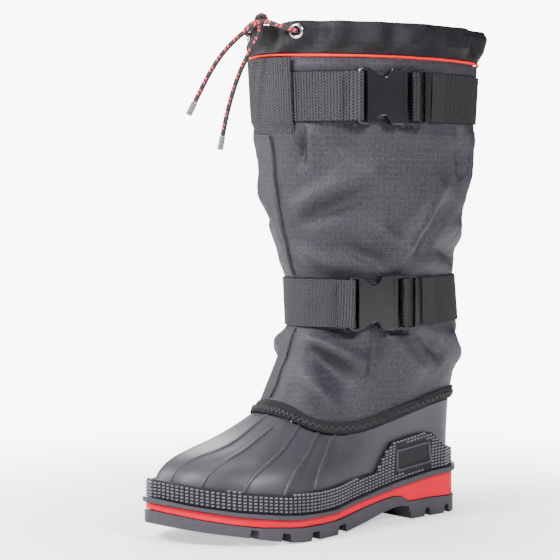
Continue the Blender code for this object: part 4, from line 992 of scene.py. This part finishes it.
class BOOT_OT_buckles(bpy.types.Operator):
    """Round the edges of the two buckles"""
    bl_idname = "boot.buckles"
    bl_label = "Buckles"

    def execute(self, context):
        for strap in ("lower", "upper"):
            for part in ("buckle_socket", "buckle_frame"):
                node = f"{strap}_{part}"
                piece = merged_copy(node, node + "_moulded")
                with editing(piece):
                    bpy.ops.mesh.dissolve_limited(angle_limit=math.radians(1.5))
                bpy.ops.object.shade_smooth()
                apply(piece, "BEVEL", width=BUCKLE_BEVEL, segments=3, limit_method="ANGLE",
                      angle_limit=math.radians(30), harden_normals=True)
                finish_piece(piece, MATERIALS["plastic"], "buckle_plastic", node)
            self.fold_webbing(strap)
        return {"FINISHED"}

    def fold_webbing(self, strap):
        """The webbing of the front strap, turned round the bar at the socket's back."""
        along, out, back, top, level = buckle_axes(f"{strap}_buckle_socket")
        middle = top - SOCKET_THICK / 2
        path = [(back + s, middle + w) for s, w in FOLD_START] + [(back + s, top + w) for s, w in FOLD_OVER]
        heights = np.linspace(level - WEBBING_WIDTH / 2, level + WEBBING_WIDTH / 2, 7)
        points = [along * s + out * w + Vector((0, 0, z)) for s, w in path for z in heights]
        per = len(heights)
        faces = [(i * per + k, (i + 1) * per + k, (i + 1) * per + k + 1, i * per + k + 1)
                 for i in range(len(path) - 1) for k in range(per - 1)]
        fold = mesh_object(f"{strap}_strap_fold", points, faces)
        apply(fold, "SOLIDIFY", thickness=WEBBING_THICK, offset=0.0)
        smooth_up(fold, 2, 60.0)
        wrap_map(fold)
        finish_piece(fold, MATERIALS["webbing"], "webbing")


class BOOT_OT_galosh(bpy.types.Operator):
    """Shape the rubber galosh, its ribs and the bare plate at the heel"""
    bl_idname = "boot.galosh"
    bl_label = "Galosh"

    def execute(self, context):
        galosh = merged_copy("galosh", "galosh_shell")
        self.even_out(galosh, 2)
        smooth_up(galosh, 2, 60.0)
        self.even_out(galosh, 34)
        finish_piece(galosh, MATERIALS["rubber"], "galosh_rubber", "galosh")
        shell = tree_of(galosh)
        half, foot = RIB_HALF, RIB_HALF + RIB_SKIRT
        right = [(half * 0.3, RIB_LIFT), (half * 0.72, RIB_LIFT * 0.85), (half, 0.0001), (foot, -0.0008)]
        profile = [(-u, v) for u, v in reversed(right)] + right
        for label, ribs in (("outer", OUTER_RIBS), ("inner", INNER_RIBS)):
            for number, rib in enumerate(ribs, 1):
                line, sides = self.lay_rib(shell, rib)
                strip = sweep(f"galosh_rib_{label}_{number}", line, profile, sides)
                finish_piece(strip, MATERIALS["rubber"], "galosh_rubber")
        self.frame_plate(tree_of(galosh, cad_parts["foxing"]))
        return {"FINISHED"}

    def even_out(self, galosh, times):
        """Smooths the front of the galosh, between the band and the binding."""
        with editing(galosh):
            bpy.ops.mesh.select_mode(type="VERT")
            shape = bmesh.from_edit_mesh(galosh.data)
            for vertex in shape.verts:
                top = float(binding_edge(turns_of(np.array([tuple(vertex.co)]))[0][0]))
                vertex.select = vertex.co.x < TOE_BACK and BAND_TOP < vertex.co.z < top - BINDING_CLEAR
            shape.select_flush_mode()
            bmesh.update_edit_mesh(galosh.data)
            bpy.ops.mesh.vertices_smooth(factor=0.5, repeat=times)

    def lay_rib(self, shell, rib):
        """A smooth line on the shell near a rib's points, with the shell's own directions."""
        ends = [Vector(point) for point in rib]
        ends[:0] = [ends[0] + (ends[0] - ends[1]).normalized() * RIB_REACH]
        ends.append(ends[-1] + Vector((0, 0, -RIB_REACH)))
        found = [shell.find_nearest(point) for point in eased(smooth_line(ends, RIB_STEP), RIB_PASSES)]
        line, sides = [hit[0] for hit in found], [hit[1] for hit in found]
        for _ in range(6):
            sides = [(sides[max(i - 1, 0)] + side + sides[min(i + 1, len(sides) - 1)]).normalized()
                     for i, side in enumerate(sides)]
        return line, sides

    def frame_plate(self, tree):
        """A raised rim round the bare plate on the heel counter."""
        line, sides = [], []
        for (x_a, z_a), (x_b, z_b) in zip(PLATE_CORNERS, PLATE_CORNERS[1:] + PLATE_CORNERS[:1]):
            for k in range(8):
                share = k / 8
                start = Vector((x_a + (x_b - x_a) * share, -0.20, z_a + (z_b - z_a) * share))
                place, normal, _, _ = tree.ray_cast(start, Vector((0, 1, 0)))
                line.append(place)
                sides.append(normal)
        plate = sweep("heel_plate_rim", line + line[:1], PLATE_RIM, sides + sides[:1])
        finish_piece(plate, MATERIALS["rubber"], "galosh_rubber")


class BOOT_OT_foxing(bpy.types.Operator):
    """Cover the band above the sole with small square studs"""
    bl_idname = "boot.foxing"
    bl_label = "Knurled band"

    def execute(self, context):
        pitch, rise = sizes().knurl_pitch, sizes().knurl_rise
        self.tree = tree_of(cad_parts["foxing"])
        low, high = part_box("foxing")
        self.ends = low.x + MIDDLE_ENDS[0], high.x - MIDDLE_ENDS[1]
        self.heights = np.arange(low.z, high.z, STUD_LEVELS)
        ring = self.find_ring((low.x + high.x) / 2)
        walked = np.concatenate([[0.0], np.cumsum(np.linalg.norm(np.diff(ring, axis=0), axis=1))])
        count = round(walked[-1] / pitch)
        steps = np.linspace(0.0, walked[-1], count, endpoint=False)
        feet = np.stack([np.interp(steps, walked, ring[:, k]) for k in range(2)], axis=1)
        columns, reaches = [], []
        for i, (x, y) in enumerate(feet):
            ahead, behind = feet[(i + 1) % count], feet[i - 1]
            along = Vector((ahead[0] - behind[0], ahead[1] - behind[1], 0.0)).normalized()
            out = along.cross(Vector((0, 0, 1)))
            if out.dot(self.inwards(Vector((x, y, 0.0)))) > 0:
                out, along = -out, -along
            start = Vector((x, y, 0.0)) + out * STUD_START
            hits = [z for z in self.heights if self.face_at(start, -out, z)]
            columns.append((start, out, along))
            reaches.append((hits[0], hits[-1]) if hits else (0.0, -1.0))
        foot, top = np.array(reaches).T
        places = []
        for (start, out, along), first, last in zip(columns, eased_ring(foot, FOOT_PASSES), top):
            for row in range(int((last - first - rise * 0.6) / rise) + 1):
                hit = self.face_at(start, -out, first + (row + 0.7) * rise)
                if hit is None or self.on_plate(hit[0]):
                    continue
                lean = (out + Vector((0, 0, hit[1].z))).normalized()
                places.append((hit[0] - lean * STUD_SINK, along, lean.cross(along), lean))
        bpy.ops.object.select_all(action="DESELECT")
        bpy.ops.mesh.primitive_cone_add(vertices=4, radius1=pitch * STUD_FOOT, radius2=pitch * STUD_TOP,
                                        depth=STUD_HEIGHT, rotation=(0, 0, math.radians(45)))
        stud = bpy.context.object
        bpy.ops.object.transform_apply(location=True, rotation=True, scale=True)
        for vertex in stud.data.vertices:
            vertex.co.y *= rise / pitch * 0.92
            vertex.co.z += STUD_HEIGHT / 4
        studs = copies("foxing_studs", stud, places)
        # The studs wear the lightened rubber: painted highlight.
        finish_piece(studs, MATERIALS["stud"], "galosh_rubber")
        return {"FINISHED"}

    def inwards(self, spot):
        """From a spot outside the band to the boot's middle line."""
        return Vector((np.clip(spot.x, *self.ends), CENTRE_LINE_Y, spot.z)) - spot

    def face_at(self, start, aim, z, reach=STUD_REACH):
        """The band's upright face at a height, if the ray meets it within its reach."""
        place, normal, _, _ = self.tree.ray_cast(Vector((start.x, start.y, z)), aim, reach)
        return (place, normal) if place is not None and abs(normal.z) < UPRIGHT else None

    def find_ring(self, middle):
        """The band's lowest outer line, smoothed and closed."""
        ring = []
        for k in range(STUD_RAYS):
            angle = 2 * math.pi * k / STUD_RAYS
            away = Vector((math.cos(angle), math.sin(angle), 0.0)) * RAY_START
            spot = Vector((middle, CENTRE_LINE_Y, 0.0)) + away
            aim = self.inwards(spot)
            hits = (self.face_at(spot, aim, z, aim.length) for z in self.heights)
            found = next((hit for hit in hits if hit), None)
            if found:
                ring.append(tuple(found[0].xy))
        ring = eased_ring(np.array(ring), RING_PASSES)
        return np.concatenate([ring, ring[:1]])

    def on_plate(self, place):
        front, back, low, high = PLATE_KEEP
        return place.y < 0 and front < place.x < back and low < place.z < high


class BOOT_OT_sole(bpy.types.Operator):
    """Finish the sole's layers and the insole"""
    bl_idname = "boot.sole"
    bl_label = "Sole"

    def execute(self, context):
        # The band under the studs takes the darkened rubber: painted shade between the studs.
        for node, key in (("outsole", "tread"), ("sole_ledge", "tread"), ("midsole_red", "red_rubber"),
                          ("foxing", "valley")):
            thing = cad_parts[node]
            thing.data.materials.clear()
            thing.data.materials.append(MATERIALS[key])
        dress("insole", "insole_felt_pad", "felt", "insole_felt", 1, 60.0, mapped=False)
        return {"FINISHED"}


class BOOT_OT_stitches(bpy.types.Operator):
    """Sew the binding, the straps' ends and the seams"""
    bl_idname = "boot.stitches"
    bl_label = "Stitches"

    def execute(self, context):
        places = []
        length = sizes().stitch_length
        for k in range(BINDING_STITCHES):
            ends = []
            for step, high in ((k, k % 2), (k + 1, (k + 1) % 2)):
                turn = (step / BINDING_STITCHES) % 1.0
                z = float(binding_edge(turn)) + BINDING_STITCH_ROWS[high]
                ends.append(shaft_place(turn, z, BINDING_OUT))
            places.append(ends)
        for turn, (low, high) in zip(STRAP_STITCH_TURNS, STRAP_BANDS):
            for k in range(int((high - low - 2 * STITCH_INSET) / length)):
                z = low + STITCH_INSET + k * length
                levels = z, z + length * STRAP_STITCH
                places.append([shaft_place(turn, level, STRAP_OUT) for level in levels])
        for turn in SEAM_STITCH_TURNS:
            for k in range(SEAM_STITCHES):
                z = SEAM_START + k * length * SEAM_STEP
                strapped = any(low - STITCH_INSET < z < high + STITCH_INSET for low, high in STRAP_BANDS)
                if z > SEAM_END or strapped:
                    continue
                lift = SEAM_OUT + float(fold_height(np.array([turn]), np.array([z]))[0])
                places.append([shaft_place(turn, level, lift) for level in (z, z + length * SEAM_STITCH)])
        bpy.ops.object.select_all(action="DESELECT")
        bpy.ops.mesh.primitive_cylinder_add(vertices=6, radius=0.5, depth=1.0)
        shape = bpy.context.object
        thick = sizes().thread
        rows = []
        for a, b in places:
            along = b - a
            side = along.orthogonal().normalized()
            rows.append(((a + b) / 2, side * thick, along.normalized().cross(side) * thick, along))
        thread = copies("stitches", shape, rows)
        wrap_map(thread)
        finish_piece(thread, MATERIALS["thread"], "binding_tape")
        return {"FINISHED"}


class BOOT_OT_stage(bpy.types.Operator):
    """Add the pale floor and the soft studio light"""
    bl_idname = "boot.stage"
    bl_label = "Stage"

    def execute(self, context):
        bpy.ops.object.select_all(action="DESELECT")
        bpy.ops.mesh.primitive_plane_add(size=14.0, location=(0, 0, -0.0004))
        floor = context.object
        floor.name = "floor"
        material, tree, shader = new_material("Pale floor", 0.85, specular=0.2)
        put, maths = tools(tree)
        place = put("ShaderNodeTexCoord").outputs["Object"]
        pale = blend_colour(put, clouds(put, place, 3.0), (0.88, 0.88, 0.88), (0.92, 0.92, 0.92))
        tree.links.new(pale, shader["Base Color"])
        reach = put("ShaderNodeVectorMath", {0: place, 1: FLOOR_MIDDLE}, operation="DISTANCE")
        share = put("ShaderNodeMapRange", {"Value": reach.outputs["Value"], **FLOOR_GLOW},
                    interpolation_type="SMOOTHSTEP")
        seen = maths("MULTIPLY", share.outputs[0], put("ShaderNodeLightPath").outputs["Is Camera Ray"])
        glow = put("ShaderNodeEmission", {"Color": WHITE, "Strength": BACKDROP}).outputs[0]
        lit = tree.nodes["Principled BSDF"].outputs[0]
        mixed = put("ShaderNodeMixShader", {0: seen, 1: lit, 2: glow})
        tree.links.new(mixed.outputs[0], tree.nodes["Material Output"].inputs[0])
        floor.data.materials.append(material)
        for name, place, aim, size, power in LIGHTS:
            bpy.ops.object.light_add(type="AREA", location=place)
            light = context.object
            light.name = name
            light.data.energy = power
            light.data.size = size
            light.rotation_euler = (Vector(aim) - Vector(place)).to_track_quat("-Z", "Y").to_euler()
        world = bpy.data.worlds.new("Studio")
        world.use_nodes = True
        tree = world.node_tree
        put, _ = tools(tree)
        lit = tree.nodes["Background"]
        lit.inputs[0].default_value = WHITE
        lit.inputs[1].default_value = ROOM_LIGHT
        seen = put("ShaderNodeBackground", {"Color": WHITE, "Strength": BACKDROP}).outputs[0]
        rays = put("ShaderNodeLightPath").outputs["Is Camera Ray"]
        pick = put("ShaderNodeMixShader", {0: rays, 1: lit.outputs[0], 2: seen})
        tree.links.new(pick.outputs[0], tree.nodes["World Output"].inputs[0])
        context.scene.world = world
        return {"FINISHED"}


class BOOT_PT_panel(bpy.types.Panel):
    """Sizes, colours and steps of the boot"""
    bl_idname = "BOOT_PT_panel"
    bl_label = "Boot"
    bl_space_type = "VIEW_3D"
    bl_region_type = "UI"
    bl_category = "Boot"

    def draw(self, context):
        for group in (context.scene.boot_sizes, context.scene.boot_colours):
            for key in group.__annotations__:
                self.layout.prop(group, key)
        for step in STEPS:
            self.layout.operator(step.bl_idname)


STEPS = (BOOT_OT_materials, BOOT_OT_camera, BOOT_OT_cords, BOOT_OT_shaft, BOOT_OT_cuff, BOOT_OT_straps,
         BOOT_OT_buckles, BOOT_OT_galosh, BOOT_OT_foxing, BOOT_OT_sole, BOOT_OT_stitches, BOOT_OT_stage)
CLASSES = (BootSizes, BootColours) + STEPS + (BOOT_PT_panel,)


def register():
    for item in CLASSES:
        bpy.utils.register_class(item)
    bpy.types.Scene.boot_sizes = bpy.props.PointerProperty(type=BootSizes)
    bpy.types.Scene.boot_colours = bpy.props.PointerProperty(type=BootColours)


def unregister():
    del bpy.types.Scene.boot_sizes
    del bpy.types.Scene.boot_colours
    for item in reversed(CLASSES):
        bpy.utils.unregister_class(item)


def main():
    register()
    bpy.ops.boot.materials()
    bpy.ops.boot.camera()
    bpy.ops.boot.cords()
    bpy.ops.boot.shaft()
    bpy.ops.boot.cuff()
    bpy.ops.boot.straps()
    bpy.ops.boot.buckles()
    bpy.ops.boot.galosh()
    bpy.ops.boot.foxing()
    bpy.ops.boot.sole()
    bpy.ops.boot.stitches()
    bpy.ops.boot.stage()


if __name__ == "__main__":
    main()
